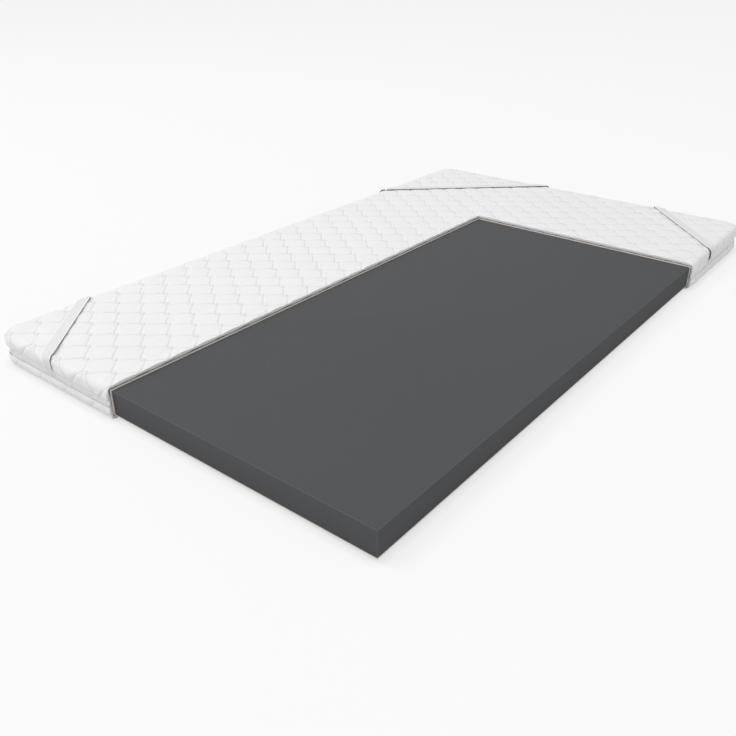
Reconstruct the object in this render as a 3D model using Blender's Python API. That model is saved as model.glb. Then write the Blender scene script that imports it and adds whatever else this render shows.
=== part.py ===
"""Foam mattress topper, 120 x 200 cm, with one corner of its cover cut away to show the core.

A foam slab lies in a fleece liner and a quilted cover.  The cover is two trays, an upper and a
lower one, each of three plies, joined at mid-height by a zip that runs round the side.  Three
elastic straps cross the covered corners.  Metres, +Z up, origin under the middle of the topper.
The side run of the zip with the slider is the long one at -X, and the cut-away corner is +X -Y.
"""
import math

import bmesh
import bpy
from mathutils import Matrix, Vector

MM = 0.001

# Driving dimensions of the whole topper
TOPPER_WIDTH = 1200 * MM
TOPPER_LENGTH = 2000 * MM
FOAM_THICKNESS = 60 * MM
SEAT_GAP = 0.3 * MM

# Plies, from the foam outwards
LINER_THICKNESS = 2.5 * MM
BACKING_THICKNESS = 0.8 * MM
WADDING_THICKNESS = 3.0 * MM
TAPE_THICKNESS = 0.8 * MM
FACE_THICKNESS = 1.0 * MM
BASE_FACE_THICKNESS = 3.6 * MM
PUFF_HEIGHT = 6.5 * MM

# Quilting: diamonds with a sewn knot at every corner
DIAMOND_WIDTH = 104 * MM
DIAMOND_LENGTH = 78 * MM
QUILT_START_X = 20.6 * MM
QUILT_START_Y = -7.7 * MM
QUILT_SNAP = 1.0 * MM

# Corners and edges
COVERED_CORNER_RADIUS = 52 * MM
QUILT_CORNER_RADIUS = 50 * MM
OPEN_CORNER_RADIUS = 1.0 * MM
QUILT_EDGE_RADIUS = 2.4 * MM
PLY_BEND = 0.2 * MM
CORNER_STEPS = 6
QUILT_CORNER_STEPS = 4
BEND_STEPS = 2

# The cut-away quarter, measured from the middle of the topper
CUT_FROM_LEFT = 455 * MM
CUT_FROM_FAR = 482 * MM
LINER_SHOWS = 5 * MM
CUTTER_OVERRUN = 50 * MM

# The zip round the side
COIL_HEIGHT_UP = 35.5 * MM
UPPER_HEM_UP = 49 * MM
LOWER_HEM_UP = 30 * MM
PLY_HEM_SETBACK = 0.5 * MM
TAPE_TUCK = 4.5 * MM
COIL_WIDTH = 2.3 * MM
COIL_DEPTH = 2.5 * MM
COIL_SPACING = 0.4 * MM
TAPE_SPACING = 1.0 * MM
ZIP_END_FROM_FAR = 388 * MM
ZIP_END_SPACING = 2 * MM

# The slider, its pull and the end pieces of the zip
SLIDER_LENGTH = 12 * MM
SLIDER_WIDTH = 8 * MM
SLIDER_TAIL_WIDTH = 7.2 * MM
SLIDER_PLATE = 1.0 * MM
BAIL_LENGTH = 7 * MM
BAIL_WIDTH = 2.0 * MM
BAIL_WALL = 1.0 * MM
BAIL_OPENING = 2.2 * MM
PULL_LENGTH = 26 * MM
PULL_WIDTH = 6 * MM
PULL_THICKNESS = 1.2 * MM
PULL_EYE_LENGTH = 4.6 * MM
PULL_BAR = 0.7 * MM
PULL_GRIP_HOLE = 2.6 * MM
PULL_GRIP_SIDES = 12
STOP_LENGTH = 2.0 * MM
BOX_LENGTH = 8 * MM
BOX_WIDTH = 7 * MM
BOX_DEPTH = 3.2 * MM
PIN_WIDTH = 1.6 * MM
PIN_DEPTH = 1.4 * MM
PIN_OUTSIDE = 3 * MM

# Elastic corner straps: the legs of each, along the short and the long side from its corner
STRAP_WIDTH = 30 * MM
STRAP_THICKNESS = 1.2 * MM
STRAP_TURN = 0.5 * MM
LEFT_STRAP_SHORT_LEG = 250 * MM
LEFT_STRAP_LONG_LEG = 285 * MM
FAR_STRAP_SHORT_LEG = 490 * MM
FAR_STRAP_LONG_LEG = 465 * MM
RIGHT_STRAP_SHORT_LEG = 318 * MM
RIGHT_STRAP_LONG_LEG = 345 * MM
STRAP_STEPS = 8
STRAP_BEND_STEPS = 4

# Distances outwards from the foam's side, worked out from the plies
LINER_OUT = SEAT_GAP
BACKING_OUT = LINER_OUT + LINER_THICKNESS + SEAT_GAP
WADDING_OUT = BACKING_OUT + BACKING_THICKNESS + SEAT_GAP
TAPE_OUT = WADDING_OUT + WADDING_THICKNESS + SEAT_GAP
FACE_OUT = TAPE_OUT + TAPE_THICKNESS + SEAT_GAP
VALLEY_OUT = FACE_OUT + FACE_THICKNESS
SIDE_ALLOWANCE = VALLEY_OUT + PUFF_HEIGHT
FOAM_X = TOPPER_WIDTH / 2 - SIDE_ALLOWANCE
FOAM_Y = TOPPER_LENGTH / 2 - SIDE_ALLOWANCE

# Heights
BASE_WADDING_UP = BASE_FACE_THICKNESS + SEAT_GAP
BASE_BACKING_UP = BASE_WADDING_UP + WADDING_THICKNESS + SEAT_GAP
BASE_LINER_UP = BASE_BACKING_UP + BACKING_THICKNESS + SEAT_GAP
FOAM_UP = BASE_LINER_UP + LINER_THICKNESS + SEAT_GAP
FOAM_TOP = FOAM_UP + FOAM_THICKNESS
LINER_UP = FOAM_TOP + SEAT_GAP
BACKING_UP = LINER_UP + LINER_THICKNESS + SEAT_GAP
WADDING_UP = BACKING_UP + BACKING_THICKNESS + SEAT_GAP
FACE_UP = WADDING_UP + WADDING_THICKNESS + SEAT_GAP
VALLEY_UP = FACE_UP + FACE_THICKNESS
TOPPER_TOP = VALLEY_UP + PUFF_HEIGHT

# Places of the quilting, the cut and the zip's end
QUILT_STEP_X = DIAMOND_WIDTH / 2
QUILT_STEP_Y = DIAMOND_LENGTH / 2
CUT_X = CUT_FROM_LEFT - TOPPER_WIDTH / 2
CUT_Y = TOPPER_LENGTH / 2 - CUT_FROM_FAR
ZIP_END_Y = TOPPER_LENGTH / 2 - ZIP_END_FROM_FAR
COIL_OUT = TAPE_OUT + TAPE_THICKNESS + SEAT_GAP

OPEN, RIGHT, FAR, LEFT = CORNERS = ((1, -1), (1, 1), (-1, 1), (-1, -1))
SHARP_ANGLE = math.radians(35)


def clear_scene():
    for obj in list(bpy.data.objects):
        bpy.data.objects.remove(obj, do_unlink=True)


def material(name, colour, roughness, metallic=0.0):
    made = bpy.data.materials.new(name)
    made.use_nodes = True
    shader = made.node_tree.nodes["Principled BSDF"]
    shader.inputs["Base Color"].default_value = (*colour, 1.0)
    shader.inputs["Roughness"].default_value = roughness
    shader.inputs["Metallic"].default_value = metallic
    made.diffuse_color = (*colour, 1.0)
    return made


def add_object(name, bm, finish):
    bmesh.ops.recalc_face_normals(bm, faces=bm.faces)
    mesh = bpy.data.meshes.new(name)
    bm.to_mesh(mesh)
    bm.free()
    mesh.shade_smooth()
    mesh.set_sharp_from_angle(angle=SHARP_ANGLE)
    obj = bpy.data.objects.new(name, mesh)
    bpy.context.scene.collection.objects.link(obj)
    if finish:
        mesh.materials.append(finish)
    return obj


def add_cutter(name, bm):
    obj = add_object(name, bm, None)
    obj.hide_render = True
    obj.display_type = "WIRE"
    return obj


def cut(obj, cutter):
    boolean = obj.modifiers.new("cut by " + cutter.name, "BOOLEAN")
    boolean.operation = "DIFFERENCE"
    boolean.solver = "EXACT"
    boolean.object = cutter


def add_block(bm, low, high):
    """An upright block between two corners, added to bm."""
    middle = (Vector(low) + Vector(high)) / 2
    size = Vector(high) - Vector(low)
    made = bmesh.ops.create_cube(bm, size=1)["verts"]
    bmesh.ops.scale(bm, vec=size, verts=made)
    bmesh.ops.translate(bm, vec=middle, verts=made)
    return made


def corner_arc(corner, out, up, radius=None):
    """Points round one corner of the plan, anticlockwise, on a line that lies out from the foam."""
    sign_x, sign_y = corner
    radius = COVERED_CORNER_RADIUS + out if radius is None else radius
    centre_x, centre_y = sign_x * (FOAM_X + out - radius), sign_y * (FOAM_Y + out - radius)
    start = math.atan2(sign_y, sign_x) - math.pi / 4
    turns = [start + step / CORNER_STEPS * math.pi / 2 for step in range(CORNER_STEPS + 1)]
    return [(centre_x + radius * math.cos(turn), centre_y + radius * math.sin(turn), up) for turn in turns]


def outline(out, up, open_radius=None):
    """A rounded rectangle that lies out from the foam's side, at a height."""
    points = corner_arc(OPEN, out, up, open_radius)
    for corner in (RIGHT, FAR, LEFT):
        points += corner_arc(corner, out, up)
    return points


def loft(bm, loops):
    """Bridges loops of equally many points and caps both ends."""
    rings = [[bm.verts.new(point) for point in loop] for loop in loops]
    for ring, following in zip(rings, rings[1:]):
        count = len(ring)
        for index in range(count):
            after = (index + 1) % count
            bm.faces.new((ring[index], ring[after], following[after], following[index]))
    bm.faces.new(list(reversed(rings[0])))
    bm.faces.new(rings[-1])


def bend(centre_out, centre_up, radius, first, last, steps=BEND_STEPS):
    """Points (out, up) on an arc in the side's cross-section, angles in degrees from outwards."""
    return [
        (
            centre_out + radius * math.cos(math.radians(first + (last - first) * step / steps)),
            centre_up + radius * math.sin(math.radians(first + (last - first) * step / steps)),
        )
        for step in range(steps + 1)
    ]


def shoulder(out, up, radius, side):
    """The rounded edge between a ply's flat part and its skirt, from the skirt to the flat part."""
    return bend(out - radius, up - side * radius, radius, 0, side * 90)


def ply_tray(name, finish, out, thickness, flat_up, hem_up, side):
    """A ply folded over the foam's edge: side is 1 for the upper tray and -1 for the lower one."""
    inner = shoulder(out, flat_up, out + PLY_BEND, side)
    outer = shoulder(out + thickness, flat_up + side * thickness, out + thickness + PLY_BEND, side)
    profile = list(reversed(inner)) + [(out, hem_up), (out + thickness, hem_up)] + outer
    bm = bmesh.new()
    loft(bm, [outline(point_out, point_up) for point_out, point_up in profile])
    return add_object(name, bm, finish)


def cut_away_corner(name, shows=0.0):
    """The corner that is cut out of the cover, less what shows of a ply past the cut."""
    bm = bmesh.new()
    low = (CUT_X + shows, -TOPPER_LENGTH / 2 - CUTTER_OVERRUN, -CUTTER_OVERRUN)
    high = (TOPPER_WIDTH / 2 + CUTTER_OVERRUN, CUT_Y - shows, TOPPER_TOP + CUTTER_OVERRUN)
    add_block(bm, low, high)
    return add_cutter(name, bm)


class QuiltedTray:
    """The relief of one quilted face: laid flat as a lattice, trimmed, then wrapped round the side."""

    def __init__(self, flat_up, hem_up, side):
        self.flat_up = flat_up
        self.side = side
        self.core_x = FOAM_X + VALLEY_OUT - QUILT_CORNER_RADIUS
        self.core_y = FOAM_Y + VALLEY_OUT - QUILT_CORNER_RADIUS
        self.flat_reach = QUILT_CORNER_RADIUS - QUILT_EDGE_RADIUS
        self.arc = QUILT_EDGE_RADIUS * math.pi / 2
        self.reach = self.flat_reach + self.arc + abs(flat_up - hem_up) - QUILT_EDGE_RADIUS

    def from_core(self, x, y):
        """Distance from the tray's core rectangle, and the direction away from it."""
        past_x = x - max(-self.core_x, min(self.core_x, x))
        past_y = y - max(-self.core_y, min(self.core_y, y))
        away = Vector((past_x, past_y))
        return away.length, away.normalized() if away.length else away

    def wrap(self, x, y, height):
        distance, direction = self.from_core(x, y)
        core = Vector((x, y)) - direction * distance
        distance = min(distance, self.reach)
        past = distance - self.flat_reach
        if past <= 0:
            radial, drop, tilt = distance, 0.0, 0.0
        elif past <= self.arc:
            tilt = past / QUILT_EDGE_RADIUS
            radial = self.flat_reach + QUILT_EDGE_RADIUS * math.sin(tilt)
            drop = QUILT_EDGE_RADIUS * (1 - math.cos(tilt))
        else:
            tilt = math.pi / 2
            radial = QUILT_CORNER_RADIUS
            drop = QUILT_EDGE_RADIUS + past - self.arc
        place = core + direction * (radial + height * math.sin(tilt))
        up = self.flat_up + self.side * (height * math.cos(tilt) - drop)
        return (place.x, place.y, max(up, 0.0))

    def lattice(self):
        """Diamonds of four triangles each: low at the knots, high in the middle."""
        bm = bmesh.new()
        count_x = math.ceil((self.core_x + self.reach) / QUILT_STEP_X) + 2
        count_y = math.ceil((self.core_y + self.reach) / QUILT_STEP_Y) + 2
        points = {}

        def point(i, j):
            if (i, j) not in points:
                high = PUFF_HEIGHT if (i + j) % 2 else 0.0
                place = (QUILT_START_X + i * QUILT_STEP_X, QUILT_START_Y + j * QUILT_STEP_Y, high)
                points[i, j] = bm.verts.new(place)
            return points[i, j]

        around = ((1, 0), (0, 1), (-1, 0), (0, -1))
        for i in range(-count_x, count_x + 1):
            for j in range(-count_y, count_y + 1):
                if (i + j) % 2 == 0:
                    continue
                knots = [point(i + di, j + dj) for di, dj in around]
                for index in range(len(knots)):
                    bm.faces.new((point(i, j), knots[index], knots[(index + 1) % len(knots)]))
        return bm

    def relief(self, x, y):
        """Height of the lattice at a place: a pyramid over each diamond."""
        across, along = (x - QUILT_START_X) / QUILT_STEP_X, (y - QUILT_START_Y) / QUILT_STEP_Y
        first, second = across + along, across - along
        return PUFF_HEIGHT * (1 - max(abs(math.remainder(first - 1, 2)), abs(math.remainder(second - 1, 2))))

    def slice_sides(self, bm, distance, trim):
        """Adds edges this far out on the four sides, drawing the nearest row of the lattice onto them."""
        for sign in (1, -1):
            for place, normal, snap in (
                ((sign * (self.core_x + distance), 0, 0), (sign, 0, 0), QUILT_STEP_X / 2),
                ((0, sign * (self.core_y + distance), 0), (0, sign, 0), QUILT_STEP_Y / 2),
            ):
                everything = list(bm.verts) + list(bm.edges) + list(bm.faces)
                bmesh.ops.bisect_plane(
                    bm, geom=everything, dist=snap, plane_co=place, plane_no=normal,
                    use_snap_center=True, clear_outer=trim,
                )

    def open_corner(self, bm, sign_x, sign_y):
        """Takes the sheet away beyond both core lines, and returns the two rows of points on them."""
        def past_x(vert):
            return sign_x * vert.co.x - self.core_x

        def past_y(vert):
            return sign_y * vert.co.y - self.core_y

        for place, normal in (
            ((sign_x * self.core_x, 0, 0), (1, 0, 0)),
            ((0, sign_y * self.core_y, 0), (0, 1, 0)),
        ):
            near = [
                face for face in bm.faces
                if max(map(past_x, face.verts)) > 0 < max(map(past_y, face.verts))
            ]
            parts = {part for face in near for part in (*face.verts, *face.edges)}
            bmesh.ops.bisect_plane(
                bm, geom=near + list(parts), dist=QUILT_SNAP, plane_co=place, plane_no=normal,
                use_snap_center=True,
            )
        bmesh.ops.remove_doubles(bm, verts=bm.verts, dist=QUILT_SNAP)
        corner = [
            face for face in bm.faces
            if min(map(past_x, face.verts)) > -QUILT_SNAP < min(map(past_y, face.verts))
        ]
        bmesh.ops.delete(bm, geom=corner, context="FACES")
        row_x = [vert for vert in bm.verts if abs(past_y(vert)) < QUILT_SNAP and past_x(vert) > -QUILT_SNAP]
        row_y = [vert for vert in bm.verts if abs(past_x(vert)) < QUILT_SNAP and past_y(vert) > -QUILT_SNAP]
        return sorted(row_x, key=past_x), sorted(row_y, key=past_y)

    def round_corner(self, bm, sign_x, sign_y):
        """Fills an opened corner with sectors of a circle about the core's corner."""
        row_x, row_y = self.open_corner(bm, sign_x, sign_y)
        middle = row_x[0]
        fold = self.flat_reach + self.arc / 2
        rails = [row_x]
        for step in range(1, QUILT_CORNER_STEPS):
            turn = step / QUILT_CORNER_STEPS * math.pi / 2
            away = Vector((sign_x * math.cos(turn), sign_y * math.sin(turn), 0))
            rail = [middle]
            for distance in (fold, self.reach):
                place = Vector((middle.co.x, middle.co.y, 0)) + away * distance
                rail.append(bm.verts.new((place.x, place.y, self.relief(place.x, place.y))))
            rails.append(rail)
        rails.append(row_y)
        for rail, following in zip(rails, rails[1:]):
            inner, outer = self.split_rail(rail, fold)
            inner_after, outer_after = self.split_rail(following, fold)
            bm.faces.new(inner + list(reversed(inner_after[1:])))
            bm.faces.new(outer + list(reversed(outer_after)))

    def split_rail(self, rail, fold):
        """The points of a row up to the fold and from it on."""
        at = min(range(len(rail)), key=lambda index: abs(self.from_core(*rail[index].co.xy)[0] - fold))
        return rail[:at + 1], rail[at:]

    def press_flat(self, bm):
        """Flattens the middle, which the topper rests on, into one face."""
        flat = {vert for vert in bm.verts if self.from_core(vert.co.x, vert.co.y)[0] < self.flat_reach}
        for vert in flat:
            vert.co.z = 0.0
        middle = [face for face in bm.faces if flat.issuperset(face.verts)]
        bmesh.ops.delete(bm, geom=middle, context="FACES")

    def solid(self, name, finish, flat_middle):
        """The relief with its middle pressed flat or not, closed across the hem."""
        bm = self.lattice()
        self.slice_sides(bm, self.flat_reach + self.arc / 2, trim=False)
        self.slice_sides(bm, self.reach, trim=True)
        for corner in CORNERS:
            self.round_corner(bm, *corner)
        if flat_middle:
            self.press_flat(bm)
        bmesh.ops.triangulate(bm, faces=bm.faces)
        for vert in bm.verts:
            vert.co = self.wrap(*vert.co)
        bmesh.ops.edgeloop_fill(bm, edges=[edge for edge in bm.edges if edge.is_boundary])
        return add_object(name, bm, finish)


def cavity(name, out, flat_up, hem_up, side):
    """What lies inside a quilted face: the room for its wadding, backing, liner and foam."""
    edge = shoulder(out, flat_up, out + PLY_BEND, side)
    profile = [(out, hem_up - side * CUTTER_OVERRUN)] + edge
    bm = bmesh.new()
    loft(bm, [outline(point_out, point_up) for point_out, point_up in profile])
    return add_cutter(name, bm)


def zip_run(name, finish, profile, low_y, high_y):
    """A bar of the given cross-section, (out, up) points in order, on one of the zip's two runs.

    The run that ends at low_y comes round the left corner from the cut; the one that starts at
    high_y goes round the far and the right corner to the cut.  The other of the two is None.
    """
    lines = []
    for out, up in profile:
        if high_y is None:
            line = [(-FOAM_X - out, low_y, up)] + corner_arc(LEFT, out, up) + [(CUT_X, -FOAM_Y - out, up)]
        else:
            line = [(FOAM_X + out, CUT_Y, up)] + corner_arc(RIGHT, out, up) + corner_arc(FAR, out, up)
            line.append((-FOAM_X - out, high_y, up))
        lines.append(line)
    bm = bmesh.new()
    loft(bm, list(zip(*lines)))
    return add_object(name, bm, finish)


def coil_profile(edge_up, side):
    """Half of the closed zip's ridge: flat on the tape, rounded outside."""
    tip = edge_up + side * COIL_WIDTH
    shoulder_share, crown_share = 0.6, 0.85
    return [
        (COIL_OUT, edge_up),
        (COIL_OUT + COIL_DEPTH, edge_up),
        (COIL_OUT + COIL_DEPTH * crown_share, edge_up + side * COIL_WIDTH * shoulder_share),
        (COIL_OUT, tip),
    ]


def on_zip_side(out, along, up):
    """A point on the long side at -X: out from the foam, along Y, and up."""
    return Vector((-FOAM_X - out, along, up))


def add_zip_block(bm, out, along, up):
    """A block on the side at -X between pairs of distances out, along and up."""
    a = on_zip_side(out[0], along[0], up[0])
    b = on_zip_side(out[1], along[1], up[1])
    return add_block(bm, [min(pair) for pair in zip(a, b)], [max(pair) for pair in zip(a, b)])


def slider_front():
    return ZIP_END_Y - STOP_LENGTH - ZIP_END_SPACING


def plate_out():
    """How far out the outer face of the slider's plate lies."""
    return COIL_OUT + COIL_DEPTH + SEAT_GAP + SLIDER_PLATE


def pull_axis():
    """The pull turns about an upright line in the middle of the bail."""
    return on_zip_side(plate_out() + BAIL_OPENING / 2, slider_front() - SLIDER_LENGTH / 2, COIL_HEIGHT_UP)


def slider_body():
    """A shield-shaped block over the ridge of the closed chain, wider at the front."""
    front, back = slider_front(), slider_front() - SLIDER_LENGTH
    tail_half, nose_half = SLIDER_TAIL_WIDTH / 2, SLIDER_WIDTH / 2
    waist_share, nose_share = 0.7, 0.87
    edge = [(back, tail_half), (back + SLIDER_LENGTH * waist_share, tail_half)]
    edge += [(back + SLIDER_LENGTH * nose_share, nose_half), (front, nose_half)]
    around = edge + [(along, -half) for along, half in reversed(edge)]
    bm = bmesh.new()
    loft(bm, [
        [on_zip_side(out, along, COIL_HEIGHT_UP + half) for along, half in around]
        for out in (COIL_OUT, plate_out())
    ])
    return bm


def slider_channel():
    """The room under the plate and between the flanges, through which the ridge runs."""
    front, back = slider_front(), slider_front() - SLIDER_LENGTH
    half = COIL_WIDTH + COIL_SPACING / 2 + SEAT_GAP
    bm = bmesh.new()
    add_zip_block(
        bm, (COIL_OUT - SLIDER_LENGTH, plate_out() - SLIDER_PLATE),
        (back - SLIDER_LENGTH, front + SLIDER_LENGTH),
        (COIL_HEIGHT_UP - half, COIL_HEIGHT_UP + half),
    )
    return bm


def bail_bridge():
    """The arch on the plate that holds the pull, with its ends sunk into the plate."""
    middle = slider_front() - SLIDER_LENGTH / 2
    half = BAIL_LENGTH / 2
    foot, top = plate_out() - SLIDER_PLATE / 2, plate_out() + BAIL_OPENING + BAIL_WALL
    edge = [(half, foot), (half - BAIL_WALL / 2, top - BAIL_WALL / 2), (half - 2 * BAIL_WALL, top)]
    arch = [(middle - along, out) for along, out in edge]
    arch += [(middle + along, out) for along, out in reversed(edge)]
    bm = bmesh.new()
    loft(bm, [
        [on_zip_side(out, along, COIL_HEIGHT_UP + side * BAIL_WIDTH / 2) for along, out in arch]
        for side in (-1, 1)
    ])
    return bm


def bail_opening():
    middle, half = slider_front() - SLIDER_LENGTH / 2, BAIL_LENGTH / 2 - BAIL_WALL
    bm = bmesh.new()
    add_zip_block(
        bm, (plate_out(), plate_out() + BAIL_OPENING), (middle - half, middle + half),
        (COIL_HEIGHT_UP - SLIDER_WIDTH, COIL_HEIGHT_UP + SLIDER_WIDTH),
    )
    return bm


def build_slider(finish, carrier):
    """The slider: a plate over the ridge, a flange on each side of it and the bail on top."""
    slider = add_object("zip_slider", slider_body(), finish)
    slider.parent = carrier
    cut(slider, add_cutter("slider_channel_cutter", slider_channel()))
    join = slider.modifiers.new("bail", "BOOLEAN")
    join.operation = "UNION"
    join.solver = "EXACT"
    join.object = add_cutter("slider_bail_form", bail_bridge())
    cut(slider, add_cutter("bail_opening_cutter", bail_opening()))


def build_pull(finish, carrier):
    """A flat tab that points back along the zip, with its end bar under the slider's bail."""
    length_and_width_shares = ((0.0, 0.9), (0.3, 0.9), (0.45, 1.0), (0.92, 1.0), (1.0, 0.6))
    edge = [
        (PULL_BAR - length_share * PULL_LENGTH, width_share * PULL_WIDTH / 2)
        for length_share, width_share in length_and_width_shares
    ]
    around = edge + [(along, -half) for along, half in reversed(edge)]
    bm = bmesh.new()
    loft(bm, [
        [(out, along, up) for along, up in around] for out in (PULL_THICKNESS / 2, -PULL_THICKNESS / 2)
    ])
    pull = add_object("zip_pull", bm, finish)
    pull.parent = carrier

    bm = bmesh.new()
    eye_half = BAIL_WIDTH / 2 + 2 * SEAT_GAP
    add_block(bm, (-PULL_WIDTH, -PULL_BAR - PULL_EYE_LENGTH, -eye_half), (PULL_WIDTH, -PULL_BAR, eye_half))
    eye = add_cutter("pull_eye_cutter", bm)

    bm = bmesh.new()
    radius = PULL_GRIP_HOLE / 2
    round_hole = bmesh.ops.create_cone(
        bm, cap_ends=True, segments=PULL_GRIP_SIDES, radius1=radius, radius2=radius, depth=PULL_WIDTH,
    )["verts"]
    bmesh.ops.rotate(bm, verts=round_hole, matrix=Matrix.Rotation(math.pi / 2, 3, "Y"))
    bmesh.ops.translate(bm, verts=round_hole, vec=(0, 2 * PULL_BAR + PULL_GRIP_HOLE - PULL_LENGTH, 0))
    grip = add_cutter("pull_grip_cutter", bm)
    for cutter in (eye, grip):
        cutter.parent = carrier
        cut(pull, cutter)
    carrier.location = pull_axis()


def build_zip_ends(metal, plastic):
    """Two stops where the slider parks, and the box and pin that start the chain's other end."""
    low_y = slider_front() + SEAT_GAP
    for word, side in (("upper", 1), ("lower", -1)):
        near = COIL_HEIGHT_UP + side * COIL_SPACING / 2
        far = near + side * (COIL_WIDTH - SEAT_GAP)
        bm = bmesh.new()
        add_zip_block(bm, (COIL_OUT, COIL_OUT + COIL_DEPTH), (low_y, low_y + STOP_LENGTH), (near, far))
        add_object("zip_top_stop_" + word, bm, metal)

    start = ZIP_END_Y + ZIP_END_SPACING
    half = BOX_WIDTH / 2
    bevel = BOX_DEPTH / 4
    bm = bmesh.new()
    loops = []
    for out, inset in ((COIL_OUT, 0.0), (COIL_OUT + BOX_DEPTH - bevel, 0.0), (COIL_OUT + BOX_DEPTH, bevel)):
        loops.append([
            on_zip_side(out, start + inset, COIL_HEIGHT_UP - half + inset),
            on_zip_side(out, start + BOX_LENGTH - inset, COIL_HEIGHT_UP - half + inset),
            on_zip_side(out, start + BOX_LENGTH - inset, COIL_HEIGHT_UP + half - inset),
            on_zip_side(out, start + inset, COIL_HEIGHT_UP + half - inset),
        ])
    loft(bm, loops)
    box = add_object("zip_retainer_box", bm, plastic)

    pin_up = COIL_HEIGHT_UP + half / 2
    pin_out = COIL_OUT + SEAT_GAP
    pin_start = start + BOX_LENGTH / 2
    bm = bmesh.new()
    add_zip_block(
        bm, (COIL_OUT - BOX_DEPTH, pin_out + PIN_DEPTH + SEAT_GAP),
        (pin_start - SEAT_GAP, start + BOX_LENGTH + CUTTER_OVERRUN),
        (pin_up - PIN_WIDTH / 2 - SEAT_GAP, pin_up + PIN_WIDTH / 2 + SEAT_GAP),
    )
    cut(box, add_cutter("pin_socket_cutter", bm))
    bm = bmesh.new()
    add_zip_block(
        bm, (pin_out, pin_out + PIN_DEPTH), (pin_start, start + BOX_LENGTH + PIN_OUTSIDE),
        (pin_up - PIN_WIDTH / 2, pin_up + PIN_WIDTH / 2),
    )
    add_object("zip_insertion_pin", bm, metal)


def strap_section():
    """The strap's run up the side as pairs (inner face, outer face) of (out, up) points."""
    turn_out = SIDE_ALLOWANCE
    turn_up = UPPER_HEM_UP + SEAT_GAP
    inner_turn, outer_turn = STRAP_TURN, STRAP_TURN + STRAP_THICKNESS
    centre_out = turn_out + SEAT_GAP - inner_turn
    sewn = (
        (COIL_OUT, turn_up - inner_turn),
        (COIL_OUT, turn_up - outer_turn),
    )
    low_inner = bend(centre_out, turn_up, inner_turn, -90, 0)
    low_outer = bend(centre_out, turn_up, outer_turn, -90, 0)
    radius = QUILT_EDGE_RADIUS + PUFF_HEIGHT + SEAT_GAP
    over_out, over_up = VALLEY_OUT - QUILT_EDGE_RADIUS, VALLEY_UP - QUILT_EDGE_RADIUS
    high_inner = bend(over_out, over_up, radius, 0, 90, STRAP_BEND_STEPS)
    high_outer = bend(over_out, over_up, radius + STRAP_THICKNESS, 0, 90, STRAP_BEND_STEPS)
    return [sewn] + list(zip(low_inner, low_outer)) + list(zip(high_inner, high_outer))


def build_strap(name, finish, carrier, corner, short_leg, long_leg):
    """An elastic strap across one corner, sewn into the seam on both sides and folded over the edge."""
    sign_x, sign_y = corner
    leg_ratio = short_leg / long_leg
    widening_x = STRAP_WIDTH * math.hypot(1, leg_ratio)
    widening_y = STRAP_WIDTH * math.hypot(1, 1 / leg_ratio)
    edge_x, edge_y = TOPPER_WIDTH / 2, TOPPER_LENGTH / 2
    from_corner_x = (short_leg, short_leg - widening_x)
    from_corner_y = (long_leg, long_leg - widening_y)
    section = strap_section()
    loops = []

    def station(points):
        loops.append([Vector((sign_x * x, sign_y * y, up)) for x, y, up in points])

    for (inner_out, inner_up), (outer_out, outer_up) in section:
        station([
            (edge_x - from_corner_x[0], FOAM_Y + inner_out, inner_up),
            (edge_x - from_corner_x[1], FOAM_Y + inner_out, inner_up),
            (edge_x - from_corner_x[1], FOAM_Y + outer_out, outer_up),
            (edge_x - from_corner_x[0], FOAM_Y + outer_out, outer_up),
        ])
    start_inner, start_outer = loops[-1][0], loops[-1][1]
    last_out = section[-1][0][0]
    end_inner = Vector((sign_x * (FOAM_X + last_out), sign_y * (edge_y - from_corner_y[0]), 0))
    end_outer = Vector((sign_x * (FOAM_X + last_out), sign_y * (edge_y - from_corner_y[1]), 0))
    low, high = section[-1][0][1], section[-1][1][1]
    for step in range(1, STRAP_STEPS):
        share = step / STRAP_STEPS
        inner = start_inner.lerp(end_inner, share)
        outer = start_outer.lerp(end_outer, share)
        loops.append([
            Vector((inner.x, inner.y, low)), Vector((outer.x, outer.y, low)),
            Vector((outer.x, outer.y, high)), Vector((inner.x, inner.y, high)),
        ])
    for (inner_out, inner_up), (outer_out, outer_up) in reversed(section):
        station([
            (FOAM_X + inner_out, edge_y - from_corner_y[0], inner_up),
            (FOAM_X + inner_out, edge_y - from_corner_y[1], inner_up),
            (FOAM_X + outer_out, edge_y - from_corner_y[1], outer_up),
            (FOAM_X + outer_out, edge_y - from_corner_y[0], outer_up),
        ])
    bm = bmesh.new()
    loft(bm, loops)
    bmesh.ops.triangulate(bm, faces=bm.faces)
    strap = add_object(name, bm, finish)
    strap.parent = carrier


def add_carrier(name, location=(0, 0, 0)):
    carrier = bpy.data.objects.new(name, None)
    carrier.location = location
    bpy.context.scene.collection.objects.link(carrier)
    return carrier


def build_core(foam, fleece):
    bm = bmesh.new()
    loft(bm, [outline(0, up, OPEN_CORNER_RADIUS) for up in (FOAM_UP, FOAM_TOP)])
    add_object("foam_core", bm, foam)
    bm = bmesh.new()
    loft(bm, [outline(0, BASE_LINER_UP + rise, OPEN_CORNER_RADIUS) for rise in (0, LINER_THICKNESS)])
    add_object("bottom_liner", bm, fleece)
    liner = ply_tray("top_liner", fleece, LINER_OUT, LINER_THICKNESS, LINER_UP, FOAM_UP, 1)
    cut(liner, cut_away_corner("liner_cut_away", LINER_SHOWS))


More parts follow.
